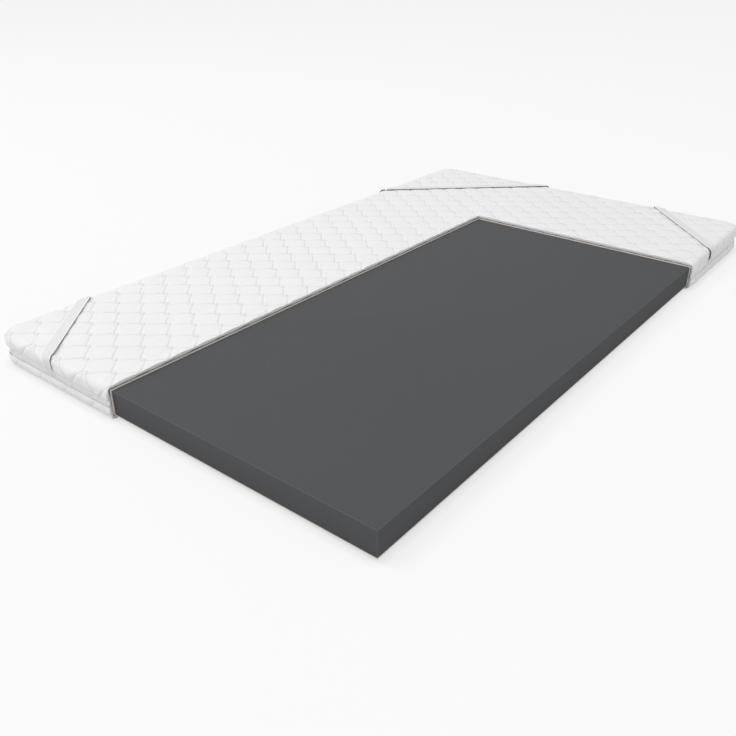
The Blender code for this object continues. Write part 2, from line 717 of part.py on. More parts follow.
def build_cover(knit, wadding, scrim):
    cut_away = cut_away_corner("cover_cut_away")
    upper_hem = UPPER_HEM_UP - PLY_HEM_SETBACK
    lower_hem = LOWER_HEM_UP + PLY_HEM_SETBACK
    base_backing_top = BASE_BACKING_UP + BACKING_THICKNESS
    base_wadding_top = BASE_WADDING_UP + WADDING_THICKNESS
    plies = [
        ply_tray("top_backing", scrim, BACKING_OUT, BACKING_THICKNESS, BACKING_UP, upper_hem, 1),
        ply_tray("top_wadding", wadding, WADDING_OUT, WADDING_THICKNESS, WADDING_UP, upper_hem, 1),
        ply_tray("bottom_backing", scrim, BACKING_OUT, BACKING_THICKNESS, base_backing_top, lower_hem, -1),
        ply_tray("bottom_wadding", wadding, WADDING_OUT, WADDING_THICKNESS, base_wadding_top, lower_hem, -1),
    ]
    top = QuiltedTray(VALLEY_UP, UPPER_HEM_UP, 1).solid("top_quilt_face", knit, flat_middle=False)
    cut(top, cavity("top_cavity", FACE_OUT, FACE_UP, UPPER_HEM_UP, 1))
    bottom = QuiltedTray(0.0, LOWER_HEM_UP, -1).solid("bottom_quilt_face", knit, flat_middle=True)
    cut(bottom, cavity("bottom_cavity", FACE_OUT, BASE_FACE_THICKNESS, LOWER_HEM_UP, -1))
    for ply in plies + [top, bottom]:
        cut(ply, cut_away)


def build_zip_chain(weave, monofilament):
    """Two flat tapes and the two halves of the closed coil, open at the zip's end and at the cut."""
    outer = TAPE_OUT + TAPE_THICKNESS
    tape_low, tape_high = ZIP_END_Y - ZIP_END_SPACING / 2, ZIP_END_Y + ZIP_END_SPACING / 2
    coil_low = slider_front()
    coil_high = ZIP_END_Y + ZIP_END_SPACING + BOX_LENGTH + PIN_OUTSIDE + SEAT_GAP
    for word, side, hem in (("upper", 1, UPPER_HEM_UP), ("lower", -1, LOWER_HEM_UP)):
        inner_up, outer_up = COIL_HEIGHT_UP + side * TAPE_SPACING / 2, hem + side * TAPE_TUCK
        tape = [(TAPE_OUT, inner_up), (outer, inner_up), (outer, outer_up), (TAPE_OUT, outer_up)]
        coil = coil_profile(COIL_HEIGHT_UP + side * COIL_SPACING / 2, side)
        zip_run("zip_tape_%s_left" % word, weave, tape, tape_low, None)
        zip_run("zip_tape_%s_right" % word, weave, tape, None, tape_high)
        zip_run("zip_coil_%s_left" % word, monofilament, coil, coil_low, None)
        zip_run("zip_coil_%s_right" % word, monofilament, coil, None, coil_high)


def main():
    clear_scene()
    foam = material("charcoal_foam", (0.09, 0.095, 0.1), 0.95)
    fleece = material("cream_fleece", (0.76, 0.72, 0.67), 0.95)
    knit = material("white_knit", (0.86, 0.86, 0.86), 0.85)
    wadding = material("fibre_wadding", (0.62, 0.62, 0.62), 1.0)
    scrim = material("white_scrim", (0.8, 0.8, 0.79), 0.9)
    weave = material("white_zip_tape", (0.82, 0.82, 0.82), 0.8)
    monofilament = material("white_coil", (0.85, 0.85, 0.85), 0.5)
    plastic = material("white_zip_plastic", (0.85, 0.85, 0.85), 0.4)
    metal = material("nickel", (0.7, 0.7, 0.7), 0.3, 1.0)
    elastic = material("white_elastic", (0.85, 0.85, 0.85), 0.75)

    build_core(foam, fleece)
    build_cover(knit, wadding, scrim)
    build_zip_chain(weave, monofilament)
    build_zip_ends(metal, plastic)
    slider_carrier = add_carrier("slider_travel")
    pull_carrier = add_carrier("pull_hinge")
    build_slider(metal, slider_carrier)
    build_pull(metal, pull_carrier)
    for name, corner, short_leg, long_leg in (
        ("left_corner_strap", (-1, -1), LEFT_STRAP_SHORT_LEG, LEFT_STRAP_LONG_LEG),
        ("far_corner_strap", (-1, 1), FAR_STRAP_SHORT_LEG, FAR_STRAP_LONG_LEG),
        ("right_corner_strap", (1, 1), RIGHT_STRAP_SHORT_LEG, RIGHT_STRAP_LONG_LEG),
    ):
        build_strap(name, elastic, add_carrier(name + "_lift"), corner, short_leg, long_leg)


main()
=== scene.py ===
# %% [markdown]
# # A foam mattress topper with one corner of its cover cut away
#
# A topper is a foam slab in a quilted, zipped cover. The CAD model gives every piece its place
# and its thickness. This script gives them their looks: cloth that is really puffed up between
# its stitches, a zip with teeth, woven elastic, and foam with pores. Lengths are in metres,
# +Z is up, and the cut-away corner is the one at +X, -Y.

import math
import random

import bmesh
import bpy
import numpy as np
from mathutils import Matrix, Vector
from mathutils.bvhtree import BVHTree


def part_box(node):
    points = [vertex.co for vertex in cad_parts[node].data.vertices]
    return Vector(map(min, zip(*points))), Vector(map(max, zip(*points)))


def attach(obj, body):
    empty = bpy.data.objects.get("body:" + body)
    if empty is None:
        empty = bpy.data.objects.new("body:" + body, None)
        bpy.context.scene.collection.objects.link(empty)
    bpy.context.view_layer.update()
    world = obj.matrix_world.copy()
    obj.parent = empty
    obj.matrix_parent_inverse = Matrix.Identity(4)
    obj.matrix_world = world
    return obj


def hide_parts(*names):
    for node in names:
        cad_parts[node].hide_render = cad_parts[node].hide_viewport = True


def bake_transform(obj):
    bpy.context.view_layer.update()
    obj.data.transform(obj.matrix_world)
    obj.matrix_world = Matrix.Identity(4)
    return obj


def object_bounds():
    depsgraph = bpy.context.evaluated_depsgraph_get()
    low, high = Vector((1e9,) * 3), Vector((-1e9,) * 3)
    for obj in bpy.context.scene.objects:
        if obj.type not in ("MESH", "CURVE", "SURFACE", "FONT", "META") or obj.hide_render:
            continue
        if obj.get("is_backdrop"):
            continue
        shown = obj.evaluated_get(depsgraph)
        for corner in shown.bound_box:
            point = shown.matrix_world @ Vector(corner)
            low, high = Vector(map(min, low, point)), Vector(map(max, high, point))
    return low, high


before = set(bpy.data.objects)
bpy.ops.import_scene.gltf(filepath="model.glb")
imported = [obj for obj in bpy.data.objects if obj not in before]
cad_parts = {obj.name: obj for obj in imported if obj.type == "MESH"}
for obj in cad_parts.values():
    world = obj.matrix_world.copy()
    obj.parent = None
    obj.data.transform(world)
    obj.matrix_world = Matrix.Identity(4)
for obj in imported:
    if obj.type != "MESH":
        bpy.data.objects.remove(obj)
cad_low, cad_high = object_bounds()
MM = 0.001
print("pieces in the frame:", len(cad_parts))
print("size in mm:", [round((high - low) / MM, 1) for low, high in zip(cad_low, cad_high)])

# %% [markdown]
# ## The camera
#
# The photograph looks down on the open corner from the foot of the topper. Its place, turn and
# lens were worked out from where the corners of the foam and of the cover fall in the picture.

# %% Camera
camera_data = bpy.data.cameras.new("camera")
camera_data.lens = 38.32
camera_data.sensor_width = 36
camera = bpy.data.objects.new("camera", camera_data)
camera.location = (1.1955, -1.7758, 0.9279)
camera.rotation_euler = (math.radians(61.17), 0, math.radians(38.58))
bpy.context.scene.collection.objects.link(camera)
bpy.context.scene.camera = camera
bpy.context.scene.view_settings.view_transform = "Standard"
print("camera height in mm:", round(camera.location.z / MM))

# %% [markdown]
# ## Sums in materials
#
# A pattern is a sum over the place on the surface. Wiring each sum by hand is slow to read, so
# one small class wraps a socket and lets the sum be written as an expression. Every other node
# comes from one method of the finish, which sets the node up and feeds its sockets.


# %% A wrapped socket
class Value:
    """A number that changes over the surface."""

    def __init__(self, tree, socket):
        self.tree, self.socket = tree, socket

    def math(self, operation, *others, first=None):
        node = self.tree.nodes.new("ShaderNodeMath")
        node.operation = operation
        terms = (first, self, *others) if first is not None else (self, *others)
        for place, term in enumerate(terms):
            if isinstance(term, Value):
                self.tree.links.new(term.socket, node.inputs[place])
            else:
                node.inputs[place].default_value = term
        return Value(self.tree, node.outputs[0])

    def __add__(self, other):
        return self.math("ADD", other)

    def __sub__(self, other):
        return self.math("SUBTRACT", other)

    def __rsub__(self, other):
        return self.math("SUBTRACT", first=other)

    def __mul__(self, other):
        return self.math("MULTIPLY", other)

    def __truediv__(self, other):
        return self.math("DIVIDE", other)

    def __abs__(self):
        return self.math("ABSOLUTE")

    def __pow__(self, exponent):
        return self.math("POWER", exponent)

    __radd__, __rmul__ = __add__, __mul__

    def nearest(self):
        return self.math("ROUND")

    def fraction(self):
        return self.math("FRACT")

    def sine(self):
        return self.math("SINE")

    def smaller(self, other):
        return self.math("MINIMUM", other)

    def larger(self, other):
        return self.math("MAXIMUM", other)

    def fade(self, start, end):
        """1 below start, 0 past end, and a straight slope between."""
        return ((end - self) / (end - start)).smaller(1.0).larger(0.0)


# %% A finish
class Finish:
    """A material, and the one way in which its nodes are added."""

    def __init__(self, name, colour, roughness, **constants):
        self.material = bpy.data.materials.new(name)
        self.material.use_nodes = True
        self.tree = self.material.node_tree
        self.shader = self.tree.nodes["Principled BSDF"]
        self.shader.inputs["Base Color"].default_value = (*colour, 1)
        self.shader.inputs["Roughness"].default_value = roughness
        for socket, value in constants.items():
            self.shader.inputs[socket.replace("_", " ")].default_value = value

    def add(self, kind, settings=None, output=0, **sockets):
        """One node. A socket is told by its name, or as _0, _1 and so on by its number."""
        node = self.tree.nodes.new("ShaderNode" + kind)
        for key, value in (settings or {}).items():
            setattr(node, key, value)
        for key, value in sockets.items():
            place = int(key[1:]) if key[1:].isdigit() else key.replace("_", " ")
            if isinstance(value, Value):
                self.tree.links.new(value.socket, node.inputs[place])
            else:
                node.inputs[place].default_value = value
        return Value(self.tree, node.outputs[output])

    def place(self):
        """Object coordinates."""
        return self.add("TexCoord", output="Object")

    def on_sheet(self):
        """The piece's own UV map, as two numbers."""
        return self.split(self.add("UVMap", {"uv_map": "sheet"}))

    def split(self, vector):
        node = self.tree.nodes.new("ShaderNodeSeparateXYZ")
        self.tree.links.new(vector.socket, node.inputs[0])
        return [Value(self.tree, output) for output in node.outputs]

    def stretched(self, vector, scale):
        return self.add("VectorMath", {"operation": "MULTIPLY"}, _0=vector, _1=scale)

    def noise(self, scale, detail, vector=None, roughness=0.5):
        return self.add(
            "TexNoise", Vector=vector or self.place(), Scale=scale, Detail=detail, Roughness=roughness)

    def mixed(self, factor, first, second):
        """Between two colours, or a colour and a link, by a factor."""
        colours = {
            key: value if isinstance(value, Value) else (*value, 1)
            for key, value in (("_6", first), ("_7", second))
        }
        return self.add("Mix", {"data_type": "RGBA"}, output=2, _0=factor, **colours)

    def bump(self, height, distance, strength):
        return self.add("Bump", Height=height, Distance=distance, Strength=strength)

    def feed(self, **sockets):
        for name, value in sockets.items():
            self.tree.links.new(value.socket, self.shader.inputs[name.replace("_", " ")])
        return self.material


# %% [markdown]
# ## Floor and light
#
# The picture was taken on a plain white floor under an even, overcast kind of light. A wide
# pale dome gives that. One large soft lamp from the upper left makes the top of the foam the
# lightest side and the right side the darkest, as in the photograph, and a weak low one from
# the right keeps that side from falling too far. Light Path keeps the backdrop white to the
# camera without adding light to the object. For the camera the floor is mostly plain white as
# well, which makes the wide shadow as faint as it is in the picture, and an ambient occlusion
# node keeps the narrow dark line where the topper touches the floor.

# %% Floor
FLOOR_SIZE = 60.0
PLAIN_SHARE = 0.8
CONTACT = 22 * MM
FLOOR_GAP = 0.2 * MM
floor_finish = Finish("pale_floor", (0.76, 0.76, 0.76), 1.0, Specular_IOR_Level=0.0)
floor_rays = floor_finish.tree.nodes.new("ShaderNodeLightPath")
seen_by_camera = Value(floor_finish.tree, floor_rays.outputs["Is Camera Ray"])
# The emission white is darkened by ambient occlusion close to the topper: a painted contact shadow.
openness = floor_finish.add("AmbientOcclusion", {"samples": 8}, output=1, Distance=CONTACT)
white_with_painted_contact_shadow = floor_finish.add(
    "Emission", Color=floor_finish.mixed(openness, (0.74, 0.74, 0.735), (1, 1, 1)), Strength=1.0)
mixed_floor = floor_finish.add("MixShader", _0=seen_by_camera * PLAIN_SHARE)
floor_links = floor_finish.tree.links
floor_links.new(floor_finish.shader.outputs[0], mixed_floor.socket.node.inputs[1])
floor_links.new(white_with_painted_contact_shadow.socket, mixed_floor.socket.node.inputs[2])
floor_links.new(mixed_floor.socket, floor_finish.tree.nodes["Material Output"].inputs["Surface"])
floor_mesh = bpy.data.meshes.new("floor")
half = FLOOR_SIZE / 2
floor_corners = [(-half, -half, 0), (half, -half, 0), (half, half, 0), (-half, half, 0)]
floor_mesh.from_pydata(floor_corners, [], [(0, 1, 2, 3)])
floor_mesh.materials.append(floor_finish.material)
floor = bpy.data.objects.new("floor", floor_mesh)
bpy.context.scene.collection.objects.link(floor)
floor.location.z = cad_low.z - FLOOR_GAP
floor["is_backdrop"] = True
print("floor side in m:", FLOOR_SIZE)

# %% Light
DOME_STRENGTH = 0.65
world = bpy.data.worlds.new("studio")
bpy.context.scene.world = world
world.use_nodes = True
sky = world.node_tree
lighting = sky.nodes["Background"]
in_view = sky.nodes.new("ShaderNodeBackground")
for shade, strength in ((lighting, DOME_STRENGTH), (in_view, 1.0)):
    shade.inputs["Color"].default_value = (1, 1, 1, 1)
    shade.inputs["Strength"].default_value = strength
rays = sky.nodes.new("ShaderNodeLightPath")
seen, mirrored, through = (
    Value(sky, rays.outputs[f"Is {kind} Ray"]) for kind in ("Camera", "Glossy", "Transmission"))
chosen = sky.nodes.new("ShaderNodeMixShader")
sky.links.new(seen.larger(mirrored).larger(through).socket, chosen.inputs[0])
sky.links.new(lighting.outputs[0], chosen.inputs[1])
sky.links.new(in_view.outputs[0], chosen.inputs[2])
sky.links.new(chosen.outputs[0], sky.nodes["World Output"].inputs["Surface"])


def add_lamp(name, place, aim, size, watts):
    data = bpy.data.lights.new(name, "AREA")
    data.size = size
    data.energy = watts
    lamp = bpy.data.objects.new(name, data)
    lamp.location = place
    lamp.rotation_mode = "QUATERNION"
    lamp.rotation_quaternion = (Vector(aim) - Vector(place)).to_track_quat("-Z", "Y")
    bpy.context.scene.collection.objects.link(lamp)
    return lamp


lamps = [
    add_lamp("key", (-3.8, -3.2, 7.4), aim=(0, 0, 0), size=4.0, watts=380),
    add_lamp("fill", (5.5, 0.6, 1.7), aim=(0.6, 0, 0), size=2.0, watts=26),
]
print("lamps:", len(lamps), "dome strength:", DOME_STRENGTH)

# %% [markdown]
# ## Measures of the topper
#
# All the plies are folded over the same foam slab, so each of them is told by how far out it
# lies from the foam's side, how high its flat part is, and where its hem ends. The frame's
# boxes give those numbers.

# %% Measures
foam_low, foam_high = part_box("foam_core")
FOAM_X, FOAM_Y = foam_high.x, foam_high.y
cut_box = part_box("top_quilt_face")
CUT_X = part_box("zip_coil_upper_left")[1].x
CUT_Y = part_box("zip_coil_upper_right")[0].y
RIM_X, RIM_Y = cut_box[1].x - FOAM_X, cut_box[1].y - FOAM_Y
PUFF = 6.5 * MM
VALLEY_OUT = RIM_X - PUFF
VALLEY_UP = cut_box[1].z - PUFF
BASE_UP = 2.6 * MM
UPPER_HEM = cut_box[0].z
LOWER_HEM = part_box("bottom_quilt_face")[1].z
CORNER = 52 * MM
COVER_CORNER = 50 * MM
FOLD_SPARE = 0.2 * MM
FOLD = VALLEY_OUT + FOLD_SPARE
print("foam in mm:", [round(v / MM, 1) for v in (foam_high - foam_low)])
print("cut lines at mm:", round(CUT_X / MM, 1), round(CUT_Y / MM, 1))


# %% A folded tray
class Tray:
    """Where a flat sheet lies once it is folded over the foam's edge.

    out is how far the ply lies outside the foam's sides, and flat_up is the level of its flat
    part. side is 1 for the upper tray, whose flat part is on top, and -1 for the lower one.
    corner and fold are the radii of its plan's corners and of its fold.
    """

    def __init__(self, out, flat_up, hem_up, side, corner, fold):
        self.flat_up, self.side, self.fold = flat_up, side, fold
        self.core = np.array((FOAM_X + out - corner, FOAM_Y + out - corner))
        self.flat_reach = corner - fold
        self.arc = fold * math.pi / 2
        self.reach = self.flat_reach + self.arc + abs(flat_up - hem_up) - fold

    def from_core(self, flat):
        """Distance from the tray's core rectangle, and the unit direction away from it."""
        past = flat - np.clip(flat, -self.core, self.core)
        distance = np.hypot(past[:, 0], past[:, 1])
        return distance, past / np.maximum(distance, 1e-12)[:, None]

    def wrap(self, flat, height):
        """From flat places and heights above the sheet to places in space."""
        distance, away = self.from_core(flat)
        base = flat - away * distance[:, None]
        past = np.minimum(distance, self.reach) - self.flat_reach
        tilt = np.clip(past / self.fold, 0, math.pi / 2)
        level = np.minimum(distance, self.flat_reach)
        radial = level + self.fold * np.sin(tilt) + height * np.sin(tilt)
        drop = self.fold * (1 - np.cos(tilt)) + np.maximum(past - self.arc, 0)
        up = self.flat_up + self.side * (height * np.cos(tilt) - drop)
        return np.column_stack((base + away * radial[:, None], up))


def in_cover(flat):
    """How far inside the cut a place is: below zero in the corner that is cut away."""
    return np.maximum(CUT_X - flat[:, 0], flat[:, 1] - CUT_Y)


top_tray = Tray(VALLEY_OUT, VALLEY_UP, UPPER_HEM, 1, COVER_CORNER, FOLD)
base_tray = Tray(VALLEY_OUT, BASE_UP, LOWER_HEM, -1, COVER_CORNER, FOLD)
for title, tray in (("upper", top_tray), ("lower", base_tray)):
    print(title, "sheet reaches mm:", round(tray.reach / MM, 1))

# %% [markdown]
# ## The quilting pattern
#
# The stitches follow two families of lines that cross at knots. At every knot the needle makes
# a small loop, and each line leaves the loop on the other side from where the next one starts,
# so the lines lean a little. A place on the sheet is told by two numbers, u and v, which are
# whole on the knots. The same two numbers bend the mesh, pin the cloth and draw the seams.

# %% Pattern numbers
KNOT_X, KNOT_Y = 20.6 * MM, -7.7 * MM
STEP_X, STEP_Y = 52 * MM, 39 * MM
LOOP = 6.4 * MM
SEAM = math.hypot(STEP_X, STEP_Y)
ROW = 2 * STEP_X * STEP_Y / SEAM
LEAN = LOOP / ROW
print("rows of stitches are mm apart:", round(ROW / MM, 1), "lean:", round(LEAN, 3))


# %% Pattern helpers
def flat_of(u, v):
    """The flat place of the pattern's numbers, and lattice_of goes the other way."""
    return np.column_stack((KNOT_X + STEP_X * (u + v), KNOT_Y + STEP_Y * (u - v)))


def lattice_of(flat):
    across, along = (flat[:, 0] - KNOT_X) / STEP_X, (flat[:, 1] - KNOT_Y) / STEP_Y
    return (across + along) / 2, (across - along) / 2


def lean(along):
    """How far a line of stitches is off the straight, in loops, along its way from knot to knot."""
    share = along - np.floor(along)
    near = np.minimum(share, 1 - share)
    return np.sign(0.5 - share) * np.minimum(1 - 2 * near, near * (1 - 2 * LEAN) / LEAN)


def bend_lattice(u, v):
    """Moves the straight lattice onto the leaning lines."""
    beside_u = 1 - 2 * np.abs(u - np.round(u))
    beside_v = 1 - 2 * np.abs(v - np.round(v))
    return u + LEAN * lean(v) * beside_u, v + LEAN * lean(u) * beside_v


# %% [markdown]
# ## Quilted sheets
#
# The sheet is laid out flat as a fine grid whose lines run along the stitches, trimmed at the
# hem and at the cut, and folded over the slab. Then cloth simulation puffs it up: the stitches
# are held, the sheet gets a little slack, and air pressure stands in for the wadding. That
# gives each diamond its own crown and its puckers, which no formula gives. One subdivision
# with sharp edges along the stitches smooths the result.

# %% Trimmed grid
GRID_SPARE = 50 * MM
TRIM_ROOM = 12 * MM
CUT_ROOM = 8 * MM
SNAP_SHARE = 0.98


def store(mesh, name, values):
    """Keeps one number for every point of a mesh."""
    mesh.attributes.new(name, "FLOAT", "POINT").data.foreach_set("value", values.astype(np.float32))


def lattice_grid(tray, per_cell):
    """The flat sheet: its mesh, with u and v kept for every point."""
    reach = tray.core + tray.reach
    span = np.ceil((reach.sum() + GRID_SPARE) / (2 * min(STEP_X, STEP_Y))) + 1
    count = int(span * per_cell)
    side = 2 * count + 1
    iu, iv = np.meshgrid(np.arange(-count, count + 1), np.arange(-count, count + 1), indexing="ij")
    u, v = iu.ravel() / per_cell, iv.ravel() / per_cell
    flat = flat_of(u, v)
    index = np.arange(side * side).reshape(side, side)
    quads = np.stack((index[:-1, :-1], index[:-1, 1:], index[1:, 1:], index[1:, :-1]), -1).reshape(-1, 4)
    middle = flat[quads].mean(1)
    keep = (np.abs(middle) < reach + TRIM_ROOM).all(1) & (in_cover(middle) > -TRIM_ROOM)
    keep &= tray.from_core(middle)[0] < tray.reach + TRIM_ROOM
    quads = quads[keep]
    used, renamed = np.unique(quads, return_inverse=True)
    quads = renamed.reshape(-1, 4)
    mesh = bpy.data.meshes.new("flat sheet")
    points = np.column_stack((flat[used], np.zeros(len(used))))
    mesh.from_pydata(points.tolist(), [], quads.tolist())
    store(mesh, "u", u[used])
    store(mesh, "v", v[used])
    bm = bmesh.new()
    bm.from_mesh(mesh)
    bpy.data.meshes.remove(mesh)
    trim_grid(bm, tray, reach, per_cell)
    return bm


def trim_grid(bm, tray, reach, per_cell):
    """Cuts the grid at its hems and along the two sides of the open corner.

    The parts of each cut keep their order, so that every run numbers the points alike.
    """
    half_x, half_y = STEP_X / per_cell / 2, STEP_Y / per_cell / 2

    def slice_at(place, normal, snap, faces, clear):
        parts = dict.fromkeys(part for face in faces for part in (*face.verts, *face.edges))
        bmesh.ops.bisect_plane(
            bm, geom=[*faces, *parts], dist=snap * SNAP_SHARE, plane_co=place, plane_no=normal,
            use_snap_center=True, clear_outer=clear)

    for sign in (1, -1):
        slice_at((sign * reach[0], 0, 0), (sign, 0, 0), half_x, bm.faces[:], True)
        slice_at((0, sign * reach[1], 0), (0, sign, 0), half_y, bm.faces[:], True)
    low = [face for face in bm.faces if face.calc_center_median().y < CUT_Y + CUT_ROOM]
    slice_at((CUT_X, 0, 0), (1, 0, 0), half_x, low, False)
    right = [face for face in bm.faces if face.calc_center_median().x > CUT_X - CUT_ROOM]
    slice_at((0, CUT_Y, 0), (0, 1, 0), half_y, right, False)
    open_corner = [
        face for face in bm.faces
        if face.calc_center_median().x > CUT_X and face.calc_center_median().y < CUT_Y
    ]
    bmesh.ops.delete(bm, geom=open_corner, context="FACES")
    past_hem = [
        face for face in bm.faces
        if tray.from_core(np.array(face.calc_center_median().xy)[None, :])[0][0] > tray.reach
    ]
    bmesh.ops.delete(bm, geom=past_hem, context="FACES")


# %% Reading and placing meshes
def read(mesh, name):
    """The numbers that store kept."""
    values = np.zeros(len(mesh.vertices), np.float32)
    mesh.attributes[name].data.foreach_get("value", values)
    return values.astype(float)


def points_of(mesh):
    points = np.zeros(len(mesh.vertices) * 3)
    mesh.vertices.foreach_get("co", points)
    return points.reshape(-1, 3)


def edge_ends(mesh):
    ends = np.zeros(len(mesh.edges) * 2, np.int64)
    mesh.edges.foreach_get("vertices", ends)
    return ends.reshape(-1, 2)


def of_corners(mesh, what):
    """For every corner of a face, its vertex_index or its edge_index."""
    found = np.zeros(len(mesh.loops), np.int64)
    mesh.loops.foreach_get(what, found)
    return found


def add_piece(name, mesh):
    piece = bpy.data.objects.new(name, mesh)
    bpy.context.scene.collection.objects.link(piece)
    return piece


def applied(piece):
    """The mesh of a piece with its modifiers applied. The piece itself is removed."""
    depsgraph = bpy.context.evaluated_depsgraph_get()
    mesh = bpy.data.meshes.new_from_object(piece.evaluated_get(depsgraph))
    bpy.data.objects.remove(piece)
    return mesh


# %% Heights before the cloth is let go
ROUNDNESS = 0.55
CUT_PUFF = 0.75
START_PUFF = 0.55
FADE = 14 * MM
HEM_BAND = 3 * MM
SEAM_LIFT = {"flat": 3.2 * MM, "side": 1.4 * MM}
GATHER = 0.45
WHOLE = 1e-3


def pillow(u, v):
    """A first guess of the puff: 0 on the stitches and 1 in the middle of a diamond."""
    return np.abs(np.sin(math.pi * u) * np.sin(math.pi * v)) ** ROUNDNESS


def is_whole(numbers):
    """Which of the pattern's numbers are whole, and so lie on a line of stitches."""
    return np.abs(numbers - np.round(numbers)) < WHOLE


def gathered(along):
    """Draws the grid's lines towards the stitches, where the cloth bends most."""
    share = along - np.floor(along)
    return along - GATHER * np.sin(math.tau * share) / math.tau


def lay_out(tray, per_cell, puff):
    """The sheet before it is puffed: its mesh, flat places, heights and what is held."""
    bm = lattice_grid(tray, per_cell)
    mesh = bpy.data.meshes.new("sheet")
    bm.to_mesh(mesh)
    bm.free()
    flat = points_of(mesh)[:, :2]
    u, v = read(mesh, "u"), read(mesh, "v")
    edge = np.zeros(len(flat), bool)
    uses = np.zeros(len(mesh.edges), int)
    np.add.at(uses, of_corners(mesh, "edge_index"), 1)
    edge[edge_ends(mesh)[uses == 1].ravel()] = True
    distance, away = tray.from_core(flat)
    on_corner_hem = edge & (np.abs(flat) > tray.core).all(1)
    snapped = np.where(on_corner_hem, tray.reach, np.minimum(distance, tray.reach))
    flat += away * (snapped - distance)[:, None]
    distance = snapped
    to_hem = tray.reach - distance
    to_cut = in_cover(flat)
    fade = np.clip(np.minimum(to_hem, to_cut) / FADE, 0, 1)
    bent = flat_of(*bend_lattice(gathered(u), gathered(v))) - flat_of(u, v)
    flat = flat + bent * fade[:, None]
    on_line = is_whole(u) | is_whole(v)
    on_side = np.clip((distance - tray.flat_reach) / tray.arc, 0, 1)
    lift = SEAM_LIFT["flat"] + (SEAM_LIFT["side"] - SEAM_LIFT["flat"]) * on_side
    lift *= np.clip(to_hem / FADE, 0, 1)
    guess = lift + pillow(*lattice_of(flat)) * (puff - lift)
    guess[on_line] = lift[on_line]
    at_hem = edge & (to_hem < HEM_BAND)
    at_cut = edge & ~at_hem
    height = lift + (guess - lift) * START_PUFF
    height[at_cut] = (lift + (guess - lift) * CUT_PUFF)[at_cut]
    height[at_hem] = 0
    return mesh, flat, height, on_line, at_hem, at_cut, guess, lift


# %% Puffing by cloth simulation
SLACK = 0.06
PRESSURE = 6.0
FRAMES = 20


def puff_up(mesh, held, fill):
    """Cloth held at the stitches and blown up from inside."""
    piece = add_piece("puffing", mesh)
    group = piece.vertex_groups.new(name="held")
    group.add([int(i) for i in np.flatnonzero(held)], 1.0, "REPLACE")
    filled = piece.vertex_groups.new(name="filled")
    for level in np.unique(fill):
        filled.add([int(i) for i in np.flatnonzero(fill == level)], float(level), "REPLACE")
    cloth = piece.modifiers.new("cloth", "CLOTH")
    settings = cloth.settings
    settings.quality = 4
    settings.mass = 0.2
    settings.tension_stiffness = settings.compression_stiffness = 20
    settings.shear_stiffness = 8
    settings.bending_stiffness = 0.4
    settings.air_damping = 2
    settings.shrink_min = -SLACK
    settings.vertex_group_mass = "held"
    settings.pin_stiffness = 1
    settings.use_pressure = True
    settings.uniform_pressure_force = PRESSURE
    settings.vertex_group_pressure = "filled"
    settings.effector_weights.gravity = 0
    cloth.collision_settings.use_collision = False
    cloth.point_cache.frame_start, cloth.point_cache.frame_end = 1, FRAMES
    scene = bpy.context.scene
    for step in range(1, FRAMES + 1):
        scene.frame_set(step)
    puffed = applied(piece)
    scene.frame_set(1)
    return puffed


# %% The outer face of a quilted sheet
LEAST_FILL, FILL_SPREAD = 0.7, 0.3
SIDE_SHIFT = 3 * MM
CREASE = 0.8


def quilted_face(tray, per_cell, puff, seed, floor_up=None):
    """The puffed cloth, subdivided once, with u and v of every point as its UV map."""
    mesh, flat, height, on_line, at_hem, at_cut, guess, lift = lay_out(tray, per_cell, puff)
    base = tray.wrap(flat, np.zeros(len(flat)))
    outwards = tray.wrap(flat, np.ones(len(flat))) - base
    held = on_line | at_hem | at_cut
    draw = random.Random(seed)
    u, v = read(mesh, "u"), read(mesh, "v")
    cells, fill = {}, []
    for a, b in zip(u, v):
        level = LEAST_FILL + FILL_SPREAD * round(draw.random(), 1)
        fill.append(cells.setdefault((math.floor(a), math.floor(b)), level))
    fill = np.array(fill)
    start = base + outwards * height[:, None]
    mesh.vertices.foreach_set("co", start.ravel())
    mesh.update()
    puffed = puff_up(mesh.copy(), held, fill)
    result = points_of(puffed)
    bpy.data.meshes.remove(puffed)
    move = result - base
    rise = (move * outwards).sum(1)
    side = move - outwards * rise[:, None]
    room = puff - lift
    rise = lift + room * np.tanh(np.maximum(rise - lift, 0) / room)
    side *= np.minimum(1, SIDE_SHIFT / np.maximum(np.linalg.norm(side, axis=1), 1e-9))[:, None]
    side[held] = 0
    rise[held] = height[held]
    result = base + outwards * rise[:, None] + side
    if floor_up is not None:
        result[:, 2] = np.maximum(result[:, 2], floor_up)
    mesh.vertices.foreach_set("co", result.ravel())
    real_u, real_v = lattice_of(flat)
    kept = {"real_u": real_u, "real_v": real_v, "flat_x": flat[:, 0], "flat_y": flat[:, 1]}
    for name, values in kept.items():
        store(mesh, name, values)
    sharpen(mesh)
    print("puff in mm: mean", round(float(rise.mean()) / MM, 2), "most", round(float(rise.max()) / MM, 2))
    return subdivided(mesh)


def sharpen(mesh):
    """Creases the edges that run along a line of stitches."""
    first, last = edge_ends(mesh).T
    on_seam = np.zeros(len(first), bool)
    for numbers in (read(mesh, "u"), read(mesh, "v")):
        on_seam |= (np.abs(numbers[first] - numbers[last]) < WHOLE) & is_whole(numbers[first])
    crease = np.where(on_seam, CREASE, 0.0).astype(np.float32)
    mesh.attributes.new("crease_edge", "FLOAT", "EDGE").data.foreach_set("value", crease)


def subdivided(mesh):
    """The mesh after one smooth subdivision that keeps its corners."""
    piece = add_piece("smoothing", mesh)
    smooth = piece.modifiers.new("smooth", "SUBSURF")
    smooth.levels = smooth.render_levels = 1
    smooth.boundary_smooth = "PRESERVE_CORNERS"
    return applied(piece)


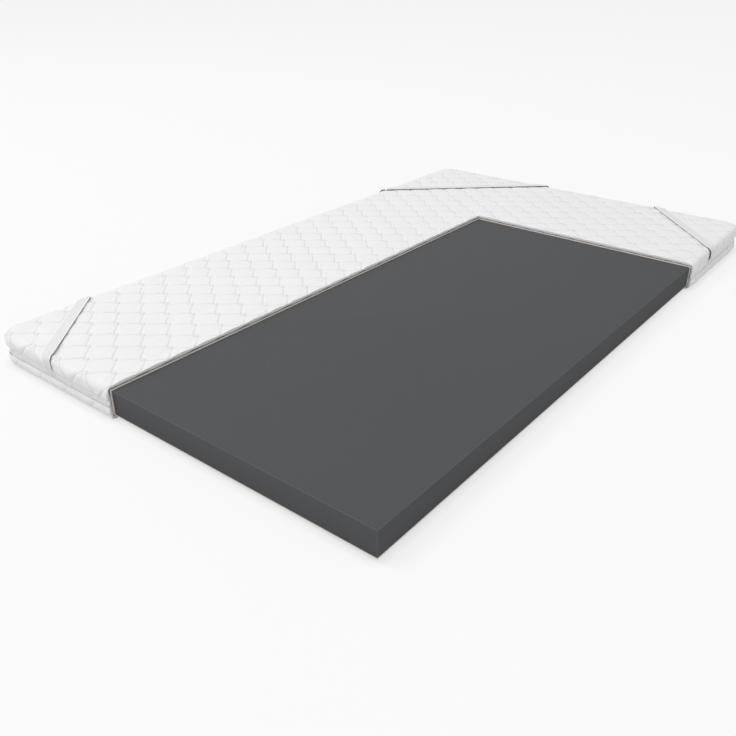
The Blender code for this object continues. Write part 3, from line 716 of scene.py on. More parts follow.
# %% [markdown]
# ## Closing a sheet
#
# A quilted face is a closed shell: the puffed cloth outside, a plain lining inside, and the cut
# and the hem between them. The lining needs few faces, because nothing of it shows. Its edge
# is joined to the fine outer edge by walking round both and always taking the nearer next
# point.

# %% Plain grid of a tray
SAME_PLACE = 0.02 * MM


def lines_between(stops, spacing):
    """Numbers from the first to the last stop, with every stop on one of them."""
    numbers = [stops[0]]
    for low, high in zip(stops, stops[1:]):
        parts = max(1, math.ceil((high - low) / spacing - 1e-6))
        numbers += [low + (high - low) * step / parts for step in range(1, parts + 1)]
    return numbers


def plain_grid(tray, spacing, margin=0.0, past_cut=0.0, fold_steps=4, corner_steps=8, side_steps=2):
    """Flat places and faces of a grid over the tray, with rounded corners.

    spacing is coarse and fine, the fine one along the open corner. margin draws the hem and
    the cut in, and past_cut draws the cut out.
    """
    outward = [0.0, tray.flat_reach / 2, tray.flat_reach]
    outward += [tray.flat_reach + tray.arc * step / fold_steps for step in range(1, fold_steps + 1)]
    last = tray.reach - margin
    first = outward[-1]
    outward += [first + (last - first) * step / side_steps for step in range(1, side_steps + 1)]
    faces, names, places = [], {}, []

    def point(x, y):
        key = (round(x / SAME_PLACE), round(y / SAME_PLACE))
        if key not in names:
            names[key] = len(places)
            places.append((x, y))
        return names[key]

    core_x, core_y = tray.core
    cut_x, cut_y = CUT_X - margin + past_cut, CUT_Y + margin - past_cut
    coarse, fine = spacing
    middle_x = lines_between([-core_x, cut_x], coarse) + lines_between([cut_x, core_x], fine)[1:]
    middle_y = lines_between([-core_y, cut_y], fine) + lines_between([cut_y, core_y], coarse)[1:]
    xs = [-core_x - d for d in reversed(outward[1:])] + middle_x + [core_x + d for d in outward[1:]]
    ys = [-core_y - d for d in reversed(outward[1:])] + middle_y + [core_y + d for d in outward[1:]]
    for x0, x1 in zip(xs, xs[1:]):
        for y0, y1 in zip(ys, ys[1:]):
            x, y = (x0 + x1) / 2, (y0 + y1) / 2
            if (x > cut_x and y < cut_y) or (abs(x) > core_x and abs(y) > core_y):
                continue
            faces.append([point(x0, y0), point(x1, y0), point(x1, y1), point(x0, y1)])
    for sign_x, sign_y in ((1, 1), (-1, 1), (-1, -1)):
        start = math.atan2(sign_y, sign_x) - math.pi / 4
        for step in range(corner_steps):
            turns = [start + (step + extra) / corner_steps * math.pi / 2 for extra in (0, 1)]
            for d0, d1 in zip(outward, outward[1:]):
                ring = []
                for d, turn in ((d0, turns[0]), (d1, turns[0]), (d1, turns[1]), (d0, turns[1])):
                    near = point(sign_x * core_x + d * math.cos(turn), sign_y * core_y + d * math.sin(turn))
                    if near not in ring:
                        ring.append(near)
                faces.append(ring)
    return np.array(places), faces


# %% Joining two edges
def edge_round(faces, points, start):
    """The points of a sheet's one outer edge in order, from the one nearest to start."""
    following = {}
    for face in faces:
        for a, b in zip(face, list(face[1:]) + [face[0]]):
            following[a, b] = True
    after = {a: b for a, b in following if (b, a) not in following}
    first = min(after, key=lambda i: (points[i][0] - start[0]) ** 2 + (points[i][1] - start[1]) ** 2)
    ring = [first]
    while after[ring[-1]] != first:
        ring.append(after[ring[-1]])
    return ring


def shares_along(points):
    """How far along a closed ring each of its points lies, from 0 to 1."""
    steps = np.linalg.norm(np.diff(np.vstack((points, points[:1])), axis=0), axis=1)
    return np.concatenate(([0], np.cumsum(steps))) / steps.sum()


def zip_together(ring_a, ring_b, flat_a, flat_b):
    """Triangles between two rings that run the same way round."""
    share_a, share_b = shares_along(flat_a), shares_along(flat_b)
    faces, i, j = [], 0, 0
    while i < len(ring_a) or j < len(ring_b):
        a, b = ring_a[i % len(ring_a)], ring_b[j % len(ring_b)]
        if j >= len(ring_b) or (i < len(ring_a) and share_a[i + 1] <= share_b[j + 1]):
            i += 1
            faces.append([a, b, ring_a[i % len(ring_a)]])
        else:
            j += 1
            faces.append([a, b, ring_b[j % len(ring_b)]])
    return faces


# %% A closed quilted shell
SKIN = 1.0 * MM
TAPE_ROOM = 1.1 * MM
TAPE_REACH, TAPE_STEP = 5 * MM, 1 * MM
LOOP_PUFF = 1.2 * MM
LINING_STEP = 40 * MM
LINING_MARGIN = 4 * MM


def skin_of(tray, flat):
    """Depth of the lining under the seams: deeper on the side above the zip tape, to fill its gap."""
    distance = tray.from_core(flat)[0]
    past_fold = np.clip((distance - tray.flat_reach) / tray.arc, 0, 1)
    above_tape = np.clip((tray.reach - distance - TAPE_REACH) / TAPE_STEP, 0, 1)
    return SKIN + TAPE_ROOM * past_fold * above_tape


def write_sheet_map(mesh, spots):
    """A UV map from one pair of numbers for every point."""
    spots = np.asarray(spots)[of_corners(mesh, "vertex_index")]
    mesh.uv_layers.new(name="sheet").data.foreach_set("uv", spots.ravel())


def smooth_shaded(mesh, degrees):
    """Smooth shading that leaves the edges sharp where faces turn by more than the angle."""
    mesh.shade_smooth()
    mesh.set_sharp_from_angle(angle=math.radians(degrees))


def quilted_shell(name, tray, per_cell, puff, seed, floor_up=None):
    """The closed cover, and the range of its faces that close the hem and the cut."""
    outer = quilted_face(tray, per_cell, puff, seed, floor_up)
    points = points_of(outer)
    u, v = read(outer, "real_u"), read(outer, "real_v")
    flat = np.column_stack((read(outer, "flat_x"), read(outer, "flat_y")))
    base = tray.wrap(flat, np.zeros(len(flat)))
    outwards = tray.wrap(flat, np.ones(len(flat))) - base
    knot = flat_of(np.round(u), np.round(v)) - flat
    away = np.hypot(knot[:, 0], knot[:, 1]) / LOOP
    button = np.clip(1 - away ** 2, 0, 1) * LOOP_PUFF
    points += outwards * button[:, None]
    if floor_up is not None:
        points[:, 2] = np.maximum(points[:, 2], floor_up)
    faces = [list(face.vertices) for face in outer.polygons]
    start = (CUT_X, CUT_Y)
    ring = edge_round(faces, flat, start)
    rim = tray.wrap(flat[ring], -skin_of(tray, flat[ring]))
    first_rim, count = len(points), len(ring)
    rim_ring = list(range(first_rim, first_rim + count))
    for i in range(count):
        j = (i + 1) % count
        faces.append([ring[j], ring[i], rim_ring[i], rim_ring[j]])
    places, lining_faces = plain_grid(tray, (LINING_STEP, LINING_STEP), margin=LINING_MARGIN)
    lining = tray.wrap(places, -skin_of(tray, places))
    lining_ring = edge_round(lining_faces, places, start)
    offset = first_rim + count
    joint = zip_together(rim_ring, [offset + i for i in lining_ring], flat[ring], places[lining_ring])
    faces += [list(reversed(face)) for face in joint]
    faces += [[offset + i for i in reversed(face)] for face in lining_faces]
    if tray.side < 0:
        faces = [list(reversed(face)) for face in faces]
    mesh = bpy.data.meshes.new(name)
    mesh.from_pydata(np.vstack((points, rim, lining)).tolist(), [], faces)
    numbers = np.column_stack((u, v))
    write_sheet_map(mesh, np.vstack((numbers, numbers[ring], np.zeros((len(lining), 2)))))
    return mesh, range(len(outer.polygons), len(outer.polygons) + count)


# %% [markdown]
# ## Finishes
#
# The cover's face is a white knit. Its seams are drawn by the same two numbers that shaped the
# cloth, as a narrow crease where the thread runs, its colour painted darker: painted shade where
# shadow fills it. The plies in the cut are loose white fibre, cream fleece and a thin backing,
# the backing and the fleece deep in the cover painted dark: painted shade of the pockets. The
# foam has open pores, and its cut edges are painted paler: a painted highlight along them.


# %% Knit with creases along the stitches
CREASE_WIDE = 2.6 * MM
COURSE, WALE = 1.3 * MM, 1.7 * MM


def waves(numbers, pitch):
    """A sine that comes back after every pitch."""
    return (numbers * (math.tau / pitch)).sine()


def seam_distance(u, v):
    """Distance in metres from the nearest stitch, from a sheet's u and v."""
    across = u - (1 - 2 * v.fraction()) * LEAN
    along = v - (1 - 2 * u.fraction()) * LEAN
    from_u = abs(across - across.nearest()) * ROW
    from_v = abs(along - along.nearest()) * ROW
    near_u, near_v = u - u.nearest(), v - v.nearest()
    x, y = (near_u + near_v) * STEP_X, (near_u - near_v) * STEP_Y
    radius = (x * x + y * y) ** 0.5
    inside = LOOP - radius
    return from_u.larger(inside).smaller(from_v.larger(inside)).smaller(abs(inside))


def knit_finish():
    knit = Finish("white_knit", (0.84, 0.84, 0.845), 0.9, Sheen_Weight=0.15, Specular_IOR_Level=0.25)
    u, v, _ = knit.on_sheet()
    crease = seam_distance(u, v).fade(0.0, CREASE_WIDE)
    cloud = knit.noise(9, 2)
    pale = knit.mixed(cloud, (0.805, 0.805, 0.81), (0.84, 0.84, 0.842))
    # The creases are painted darker in colour: painted shade along the seams.
    colour = knit.mixed(crease * crease * 0.7, pale, (0.6, 0.6, 0.61))
    loops = waves((u + v) * STEP_X, COURSE) * waves((u - v) * STEP_Y, WALE)
    return knit.feed(Base_Color=colour, Normal=knit.bump(loops * 0.3 - crease, 0.35 * MM, 0.6))


# %% Loose fibres
UNDER_FROM, UNDER_TO = 16 * MM, 6 * MM
LINE_BEFORE, LINE_PAST = -0.2 * MM, 1.2 * MM


def fibre_finish(name, low, high, scale, stretch, depth, under=None, **constants):
    """A noise drawn out one way, in colour and in relief, between two tones.

    under is a painted shade, in place of the fleece's colour where it lies beneath the cover, past the cut
    and down the foam's sides.
    """
    fibre = Finish(name, high, 1.0, Specular_IOR_Level=0.1, **constants)
    place = fibre.stretched(fibre.place(), stretch)
    strands = fibre.noise(scale, 5, place, 0.7)
    colour = fibre.mixed(strands, low, high)
    # Painted shade: inside the cover and near the foam's top the fleece takes the dark under tone.
    if under:
        x, y, z = fibre.split(fibre.place())
        beneath = (CUT_X - x).larger(y - CUT_Y)
        below = z.fade(foam_high.z - UNDER_FROM, foam_high.z - UNDER_TO)
        colour = fibre.mixed(beneath.fade(LINE_BEFORE, LINE_PAST).larger(below), under, colour)
    return fibre.feed(Base_Color=colour, Normal=fibre.bump(strands, depth, 0.6))


def thread_finish():
    """Spun thread: the knit's white with a slight shine."""
    thread = Finish("white_thread", (0.82, 0.82, 0.82), 0.6, Sheen_Weight=0.1)
    ply = thread.noise(1800, 2)
    return thread.feed(Base_Color=thread.mixed(ply, (0.82, 0.82, 0.825), (0.92, 0.92, 0.92)))


white_knit = knit_finish()
white_thread = thread_finish()
glow = {"Subsurface_Weight": 1.0, "Subsurface_Radius": (1, 1, 1), "Subsurface_Scale": 3 * MM}
fibre_wadding = fibre_finish(
    "fibre_wadding", (0.84, 0.84, 0.85), (0.96, 0.96, 0.96), 500, (1, 1, 2.5), 0.15 * MM, **glow)
# The backing's colour is a dark brownish grey, not white: painted shade of the pockets along the cut.
white_scrim = fibre_finish(
    "white_scrim", (0.4, 0.375, 0.34), (0.58, 0.55, 0.51), 900, (1, 1, 1), 0.1 * MM)
# The fleece is cream; its dark under tone is painted shade deep in the pockets.
cream_fleece = fibre_finish(
    "cream_fleece", (0.66, 0.62, 0.57), (0.84, 0.80, 0.75), 1100, (1, 1, 1), 0.12 * MM,
    under=(0.22, 0.2, 0.18))
print("finishes so far:", len(bpy.data.materials))


# %% Foam with pores
PORES_PER_METRE = 620.0
HIGHLIGHT_FROM, HIGHLIGHT_TO = 0.3 * MM, 1.9 * MM


def foam_finish():
    """Dark cells, a coarser grain, and edges painted paler as a painted highlight: an edge is where two
    sides are near.
    """
    foam = Finish("charcoal_foam", (0.088, 0.09, 0.094), 0.95, Specular_IOR_Level=0.2)
    x, y, z = foam.split(foam.place())
    side_x = FOAM_X - abs(x)
    side_y = FOAM_Y - abs(y)
    side_z = (foam_high.z - z).smaller(z - foam_low.z)
    low, high = side_x.smaller(side_y), side_x.larger(side_y)
    second_nearest = low.larger(high.smaller(side_z))
    edge = second_nearest.fade(HIGHLIGHT_FROM, HIGHLIGHT_TO)
    pores = foam.add("TexVoronoi", {"feature": "F1"}, Vector=foam.place(), Scale=PORES_PER_METRE)
    grain = foam.noise(260, 4)
    cloud = foam.noise(3, 2)
    tone = pores.fade(0.0, 0.55) * -0.35 + grain * 0.3 + cloud * 0.12 + 0.36
    colour = foam.mixed(tone, (0.0635, 0.0655, 0.069), (0.101, 0.103, 0.107))
    # Painted highlight: the colour is paler along every edge of the slab.
    painted_edge_highlight = foam.mixed(edge * 0.4, colour, (0.15, 0.152, 0.156))
    return foam.feed(Base_Color=painted_edge_highlight, Normal=foam.bump(pores + grain * 0.5, 0.5 * MM, 0.5))


charcoal_foam = foam_finish()

# %% [markdown]
# ## Dressing the quilted covers
#
# The cut through a cover shows its filling, so those faces get the wadding's finish.

# %% Covers
covers = {}
for name, tray, per_cell, seed, floor_up, node in (
    ("top_cover", top_tray, 8, 3, None, "top_quilt_face"),
    ("base_cover", base_tray, 6, 5, 0.0, "bottom_quilt_face"),
):
    mesh, rim = quilted_shell(name, tray, per_cell, PUFF, seed, floor_up)
    mesh.materials.append(white_knit)
    mesh.materials.append(fibre_wadding)
    slots = np.zeros(len(mesh.polygons), np.int32)
    slots[rim.start:rim.stop] = 1
    mesh.polygons.foreach_set("material_index", slots)
    smooth_shaded(mesh, 50)
    piece = add_piece(name, mesh)
    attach(piece, "topper")
    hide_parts(node)
    covers[name] = piece
    print(name, "triangles:", sum(len(face.vertices) - 2 for face in mesh.polygons))

# %% [markdown]
# ## Plies under the face
#
# Wadding, backing and liner are plain sheets folded over the slab like the face, one inside
# the other. The stitches draw the wadding and the backing up from the liner, which leaves the
# dark pockets that the photograph shows along the cut. The backing stops just short of it, and
# wadding and backing reach behind the zip, because the section in the picture is filled there.

# %% Sheets with two faces
PLY_STEPS = (40 * MM, 6 * MM)


def two_faced(name, tray, thickness, lift_inner, lift_outer, finish, past_cut):
    """A closed sheet between two levels over a tray; each lift is a function of the flat place."""
    places, faces = plain_grid(tray, PLY_STEPS, past_cut=past_cut, corner_steps=10, fold_steps=5)
    inner = tray.wrap(places, lift_inner(places))
    outer = tray.wrap(places, thickness + lift_outer(places))
    ring = edge_round(faces, places, (CUT_X, CUT_Y))
    count = len(places)
    shell = [[count + i for i in face] for face in faces] + [list(reversed(face)) for face in faces]
    for a, b in zip(ring, ring[1:] + ring[:1]):
        shell.append([a, b, count + b, count + a])
    if tray.side < 0:
        shell = [list(reversed(face)) for face in shell]
    mesh = bpy.data.meshes.new(name)
    mesh.from_pydata(np.vstack((inner, outer)).tolist(), [], shell)
    mesh.materials.append(finish)
    smooth_shaded(mesh, 50)
    return add_piece(name, mesh)


def lifted(under_crowns, at_seams):
    """How far the stitches lift a ply from the one beneath: at the crowns, and more at the seams."""
    def lift(places):
        return under_crowns + at_seams * (1 - pillow(*lattice_of(places))) ** 2
    return lift


# %% Five plies
WADDING, BACKING, LINER = 3.0 * MM, 0.8 * MM, 2.5 * MM
FLAT, LIFTED, BARELY = lifted(0, 0), lifted(0.7 * MM, 1.5 * MM), lifted(0, 0.6 * MM)
UPPER_TAIL, LOWER_TAIL = 13 * MM, 4.5 * MM
BACKING_PAST_CUT, LINER_PAST_CUT = -1.5 * MM, 3 * MM
for name, node, side, thickness, finish, slot, lift_inner, lift_outer, past_cut, tail in (
    ("wadding_upper", "top_wadding", 1, WADDING, fibre_wadding, "fibre_wadding",
     LIFTED, FLAT, 0, UPPER_TAIL),
    ("backing_upper", "top_backing", 1, BACKING, white_scrim, "white_scrim",
     LIFTED, LIFTED, BACKING_PAST_CUT, UPPER_TAIL),
    ("liner_upper", "top_liner", 1, LINER, cream_fleece, "cream_fleece",
     FLAT, FLAT, LINER_PAST_CUT, 0),
    ("wadding_lower", "bottom_wadding", -1, WADDING, fibre_wadding, "fibre_wadding",
     BARELY, FLAT, 0, LOWER_TAIL),
    ("backing_lower", "bottom_backing", -1, BACKING, white_scrim, "white_scrim",
     BARELY, BARELY, 0, LOWER_TAIL),
):
    low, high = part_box(node)
    out = high.y - FOAM_Y - thickness
    flat_up, hem = (high.z - thickness, low.z) if side > 0 else (low.z + thickness, high.z)
    tray = Tray(out, flat_up, hem - side * tail, side, CORNER + out, out + FOLD_SPARE)
    piece = two_faced(name, tray, thickness, lift_inner, lift_outer, finish, past_cut)
    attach(piece, "topper")
    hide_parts(node)
    width, length = 2 * (tray.core + tray.reach)
    # Three of the sheet's corners are rounded. The fourth goes with the part that is cut away.
    uncut = width * length - (4 - math.pi) * tray.reach ** 2 / 4 * 3
    gone = (width / 2 - CUT_X - past_cut) * (length / 2 + CUT_Y - past_cut)
    uncut - gone

# %% [markdown]
# ## The foam slab and the sheet under it
#
# The slab is cut with a knife, so its edges are crisp: a bevel of under a millimetre catches
# the light. Its covered corners are rounded, the open one is square. The fleece under it is
# cut flush with it, and its edge wanders a little, as a scissor cut does.

# %% Slabs
OPEN_RADIUS, LEAST_RADIUS = 1 * MM, 0.1 * MM
BEVEL_SHARE = 0.3


def plan_outline(out, steps=14):
    """A rounded rectangle anticlockwise from the open corner."""
    points = []
    for sign_x, sign_y in ((1, -1), (1, 1), (-1, 1), (-1, -1)):
        radius = OPEN_RADIUS if (sign_x, sign_y) == (1, -1) else CORNER
        radius = max(radius + out, LEAST_RADIUS)
        centre = (sign_x * (FOAM_X + out - radius), sign_y * (FOAM_Y + out - radius))
        start = math.atan2(sign_y, sign_x) - math.pi / 4
        for step in range(steps + 1):
            turn = start + step / steps * math.pi / 2
            points.append((centre[0] + radius * math.cos(turn), centre[1] + radius * math.sin(turn)))
    return points


def with_points_between(ring, spacing):
    """The ring with more points on its long sides."""
    finer = []
    for a, b in zip(ring, ring[1:] + ring[:1]):
        parts = max(1, round(math.dist(a, b) / spacing))
        for k in range(parts):
            finer.append((a[0] + (b[0] - a[0]) * k / parts, a[1] + (b[1] - a[1]) * k / parts))
    return finer


def slab(name, low_up, high_up, bevel, finish, spacing, wander):
    """A closed slab with bevelled edges, whose sides wander a little in two waves."""
    step = bevel * BEVEL_SHARE
    levels = [(-bevel, low_up), (-step, low_up + step), (0, low_up + bevel)]
    levels += [(0, high_up - bevel), (-step, high_up - step), (-bevel, high_up)]
    rings = [with_points_between(plan_outline(out), spacing) for out, _ in levels]
    count = len(rings[0])
    points, faces = [], []
    for (out, up), ring in zip(levels, rings):
        for x, y in ring:
            slow, quick = math.sin(x * 61 + y * 47), math.sin(x * 171 - y * 139 + up * 90)
            shift = wander * (slow + quick)
            points.append((x * (1 + shift / FOAM_X), y * (1 + shift / FOAM_Y), up))
    for row in range(len(levels) - 1):
        for i in range(count):
            a, b = row * count + i, row * count + (i + 1) % count
            faces.append([a, b, b + count, a + count])
    faces.append(list(reversed(range(count))))
    faces.append([(len(levels) - 1) * count + i for i in range(count)])
    mesh = bpy.data.meshes.new(name)
    mesh.from_pydata(points, [], faces)
    mesh.materials.append(finish)
    smooth_shaded(mesh, 30)
    return add_piece(name, mesh)


liner_low, liner_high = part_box("bottom_liner")
foam_slab = slab(
    "foam_slab", foam_low.z, foam_high.z, bevel=0.9 * MM, finish=charcoal_foam,
    spacing=60 * MM, wander=0.0)
under_sheet = slab(
    "liner_lower", liner_low.z, liner_high.z, bevel=0.8 * MM, finish=cream_fleece,
    spacing=9 * MM, wander=0.12 * MM)
for piece, node, slot in (
    (foam_slab, "foam_core", "charcoal_foam"),
    (under_sheet, "bottom_liner", "cream_fleece"),
):
    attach(piece, "topper")
    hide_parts(node)
print("slab thickness in mm:", round((foam_high.z - foam_low.z) / MM, 1))

# %% [markdown]
# ## Elastic straps
# Each strap is a woven elastic band sewn into the seam on both sides of its corner. It lies on
# the crowns of the quilting, rolls over the edge and turns upright on the side. It is built
# from cross-sections along that path, so that its ribs can follow it in the UV map. When it
# is lifted, its sewn ends stay and the rest follows, which a blend along Z does.

# %% Strap path
STRAP_GAP = 0.3 * MM
STRAP_THICK = 1.2 * MM
STRAP_WIDE = 30 * MM
ROLL = FOLD + PUFF + STRAP_GAP
ROLL_OUT, ROLL_UP = VALLEY_OUT - FOLD, VALLEY_UP - FOLD
ROLL_IN = RIM_X - ROLL_OUT
BEND = 55 * MM
INNER_LIFT = 1.6 * MM
BAND_CROWN = 0.25 * MM
SEAM_MARGIN = 6 * MM
STATION = 5 * MM
BELOW_SEAM = 1 * MM
TUCK_LONG, TUCK_DEEP = 9 * MM, 5.2 * MM
SEAM_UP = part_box("left_corner_strap")[0].z
SIDE_DROP = ROLL * math.pi / 2 + ROLL_UP - SEAM_UP - BELOW_SEAM


def arc_between(corner, before, after, radius, steps=16):
    """Rounds a corner of a line: before and after are unit directions into and out of it."""
    turn = math.acos(max(-1, min(1, before.dot(after))))
    sense = 1 if before.cross(after) > 0 else -1
    start = corner - before * (radius * math.tan(turn / 2))
    middle = start + Vector((-before.y, before.x)) * radius * sense
    arm = start - middle
    points = []
    for step in range(steps + 1):
        angle = sense * turn * step / steps
        cosine, sine = math.cos(angle), math.sin(angle)
        points.append(middle + Vector((arm.x * cosine - arm.y * sine, arm.x * sine + arm.y * cosine)))
    return points


def strap_centre(leg_x, leg_y):
    """The middle of the band, laid out flat: distances inwards from the rim along x and y."""
    half_seam = STRAP_WIDE / 2
    foot_a = Vector((leg_x - half_seam - SEAM_MARGIN, ROLL_IN - SIDE_DROP))
    foot_b = Vector((ROLL_IN - SIDE_DROP, leg_y - half_seam - SEAM_MARGIN))
    corner_a, corner_b = Vector((foot_a.x, 0)), Vector((0, foot_b.y))
    across = (corner_b - corner_a).normalized()
    stops = [foot_a] + arc_between(corner_a, Vector((0, 1)), across, BEND)
    stops += arc_between(corner_b, across, Vector((-1, 0)), BEND) + [foot_b]
    line = [stops[0]]
    for a, b in zip(stops, stops[1:]):
        parts = max(1, round((b - a).length / STATION))
        line += [a + (b - a) * k / parts for k in range(1, parts + 1)]
    return line


def rolled(inward):
    """From a distance inwards on the flat layout to the place over the edge: inward, up and tilt."""
    past = ROLL_IN - inward
    turn = min(max(past / ROLL, 0), math.pi / 2)
    down = max(past - ROLL * math.pi / 2, 0)
    place = ROLL_IN - ROLL * math.sin(turn) if past > 0 else inward
    tuck = max(0, down - (SIDE_DROP - ROLL * math.pi / 2 - TUCK_LONG)) / TUCK_LONG
    return place + TUCK_DEEP * tuck ** 2, ROLL_UP + ROLL * math.cos(turn) - down, turn


def face_outwards(mesh):
    """Turns every face of a closed mesh to the outside."""
    bm = bmesh.new()
    bm.from_mesh(mesh)
    bmesh.ops.recalc_face_normals(bm, faces=bm.faces)
    bm.to_mesh(mesh)
    bm.free()


def strap_mesh(name, node, across=6):
    """The band, with its underside in the second material slot, and its length.

    The number across is how many faces wide the band is. What lies nearer to the short side
    in the flat layout rolls over that side's edge, and the rest over the long side's.
    """
    box_low, box_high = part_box(node)
    sign_x = 1 if box_low.x + box_high.x > 0 else -1
    sign_y = 1 if box_low.y + box_high.y > 0 else -1
    edge_x, edge_y = FOAM_X + RIM_X, FOAM_Y + RIM_Y
    leg_x = (edge_x - box_low.x) if sign_x > 0 else (edge_x + box_high.x)
    leg_y = (edge_y - box_low.y) if sign_y > 0 else (edge_y + box_high.y)
    line = strap_centre(leg_x, leg_y)
    low_face, high_face, way = [], [], [0.0]
    for index, place in enumerate(line):
        before, after = line[max(index - 1, 0)], line[min(index + 1, len(line) - 1)]
        ahead = (after - before).normalized()
        beside = Vector((ahead.y, -ahead.x))
        if index:
            way.append(way[-1] + (place - line[index - 1]).length)
        for k in range(across + 1):
            share = k / across
            spot = place + beside * STRAP_WIDE * (0.5 - share)
            if spot.y < spot.x:
                level, up, turn = rolled(spot.y)
                away = Vector((0, -math.sin(turn), math.cos(turn)))
                point = Vector((spot.x, level, up))
            else:
                level, up, turn = rolled(spot.x)
                away = Vector((-math.sin(turn), 0, math.cos(turn)))
                point = Vector((level, spot.y, up))
            rise = INNER_LIFT * (1 - share) ** 1.5 * math.cos(turn)
            crown = BAND_CROWN * math.sin(math.pi * share)
            low_face.append(point + away * (rise + crown))
            high_face.append(point + away * (rise + crown + STRAP_THICK))
    stations, wide = len(line), across + 1
    points = [(sign_x * (edge_x - p.x), sign_y * (edge_y - p.y), p.z) for p in low_face + high_face]
    faces, backs, count = [], [], stations * wide
    for i in range(stations - 1):
        for k in range(across):
            a, b = i * wide + k, (i + 1) * wide + k
            backs.append(len(faces))
            faces.append([a, a + 1, b + 1, b])
            faces.append([count + a, count + b, count + b + 1, count + a + 1])
        a, b = i * wide, (i + 1) * wide
        faces.append([a, b, count + b, count + a])
        faces.append([a + across, count + a + across, count + b + across, b + across])
    for i, flip in ((0, False), (stations - 1, True)):
        a = i * wide
        for k in range(across):
            cap = [a + k, count + a + k, count + a + k + 1, a + k + 1]
            faces.append(list(reversed(cap)) if flip else cap)
    mesh = bpy.data.meshes.new(name)
    mesh.from_pydata(points, [], faces)
    slots = np.zeros(len(faces), np.int32)
    slots[backs] = 1
    mesh.polygons.foreach_set("material_index", slots)
    spots = [(way[i], k / across * STRAP_WIDE) for i in range(stations) for k in range(wide)]
    write_sheet_map(mesh, spots * 2)
    face_outwards(mesh)
    smooth_shaded(mesh, 50)
    return mesh, way[-1]


# %% Elastic
RIB, WEAVE = 2.0 * MM, 1.1 * MM
SELVEDGE_HIGHLIGHT_WIDE, SELVEDGE_HIGHLIGHT_FULL = 2.0 * MM, 1.2 * MM


def elastic_finish():
    """Fine flat ribs along the band, a weave across it, and two selvedges painted bright white: a painted
    highlight on the band's edges.
    """
    band = Finish("white_elastic", (0.75, 0.75, 0.75), 0.7, Sheen_Weight=0.1)
    along, across, _ = band.on_sheet()
    ribs, weave = waves(across, RIB), waves(along, WEAVE)
    half = STRAP_WIDE / 2
    inside = abs(across - half).fade(half - SELVEDGE_HIGHLIGHT_WIDE, half - SELVEDGE_HIGHLIGHT_FULL)
    tone = ribs * 0.12 + weave * 0.08 + band.noise(40, 2) * 0.3 + 0.35
    woven = band.mixed(tone, (0.69, 0.69, 0.695), (0.75, 0.75, 0.75))
    # The selvedges and the band's thin sides are painted brighter than its face: a painted highlight.
    colour = band.mixed(inside, (0.93, 0.93, 0.93), woven)
    return band.feed(Base_Color=colour, Normal=band.bump((ribs + weave * 0.7) * inside, 0.06 * MM, 0.5))


def strap_underside_shade_finish():
    """The underside, painted dark grey with faint stripes across it: painted shade under the band."""
    back = Finish("strap_underside_shade", (0.3, 0.3, 0.3), 0.8)
    _, across, _ = back.on_sheet()
    shade_stripes = waves(across, RIB) * 0.5 + 0.5
    return back.feed(Base_Color=back.mixed(shade_stripes, (0.2, 0.2, 0.2), (0.42, 0.42, 0.42)))


# The underside's dark finish is painted shade in the gap beneath each strap.
white_elastic, strap_underside_shade = elastic_finish(), strap_underside_shade_finish()
for corner in ("left", "far", "right"):
    node = corner + "_corner_strap"
    mesh, length = strap_mesh(node + "_band", node)
    mesh.materials.append(white_elastic)
    mesh.materials.append(strap_underside_shade)
    strap = add_piece(node + "_band", mesh)
    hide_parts(node)
    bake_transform(strap)
    print(corner, "strap length in mm:", round(length / MM))

# %% [markdown]
# ## The zip round the side
#
# A zipped cover opens all round its side. Two woven tapes are sewn under the hems of the two
# quilted faces, and each carries one half of a nylon coil. Closed, the halves mesh into one
# white ridge. The tapes are swept along the same rounded rectangle as the foam, with their
# thickness, and their herringbone weave is drawn along them by the UV map.

# %% Path round the topper
TAPE_GAP = 2 * MM


def path_round(parts, arc_steps=24):
    """Places on the foam's rounded side, anticlockwise, each with its outward direction.

    parts lists straight stretches and corners: ("line", start, end, outward) or
    ("turn", sign_x, sign_y), for the corner on that side.
    """
    stations = []
    for part in parts:
        if part[0] == "line":
            _, start, end, outward = part
            stations += [(Vector(start), Vector(outward)), (Vector(end), Vector(outward))]
        else:
            _, sign_x, sign_y = part
            centre = Vector((sign_x * (FOAM_X - CORNER), sign_y * (FOAM_Y - CORNER)))
            first = math.atan2(sign_y, sign_x) - math.pi / 4
            for step in range(1, arc_steps):
                turn = first + step / arc_steps * math.pi / 2
                away = Vector((math.cos(turn), math.sin(turn)))
                stations.append((centre + away * CORNER, away))
    return stations


def zip_paths(left_end, right_end):
    """The zip's two runs: from the hidden side round to the cut, and from the cut round to it."""
    straight_x, straight_y = FOAM_X - CORNER, FOAM_Y - CORNER
    left = path_round([
        ("line", (-FOAM_X, left_end), (-FOAM_X, -straight_y), (-1, 0)),
        ("turn", -1, -1),
        ("line", (-straight_x, -FOAM_Y), (CUT_X, -FOAM_Y), (0, -1)),
    ])
    right = path_round([
        ("line", (FOAM_X, CUT_Y), (FOAM_X, straight_y), (1, 0)),
        ("turn", 1, 1),
        ("line", (straight_x, FOAM_Y), (-straight_x, FOAM_Y), (0, 1)),
        ("turn", -1, 1),
        ("line", (-FOAM_X, straight_y), (-FOAM_X, right_end), (-1, 0)),
    ])
    return {"left": left, "right": right}


tape_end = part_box("zip_tape_upper_left")[1].y
tape_paths = zip_paths(tape_end, tape_end + TAPE_GAP)
print("zip runs have stations:", {side: len(path) for side, path in tape_paths.items()})


# %% Tapes
TAPE_THICK, TAPE_ROUND = 0.8 * MM, 0.2 * MM
HERRING, THREAD = 2.4 * MM, 1.0 * MM


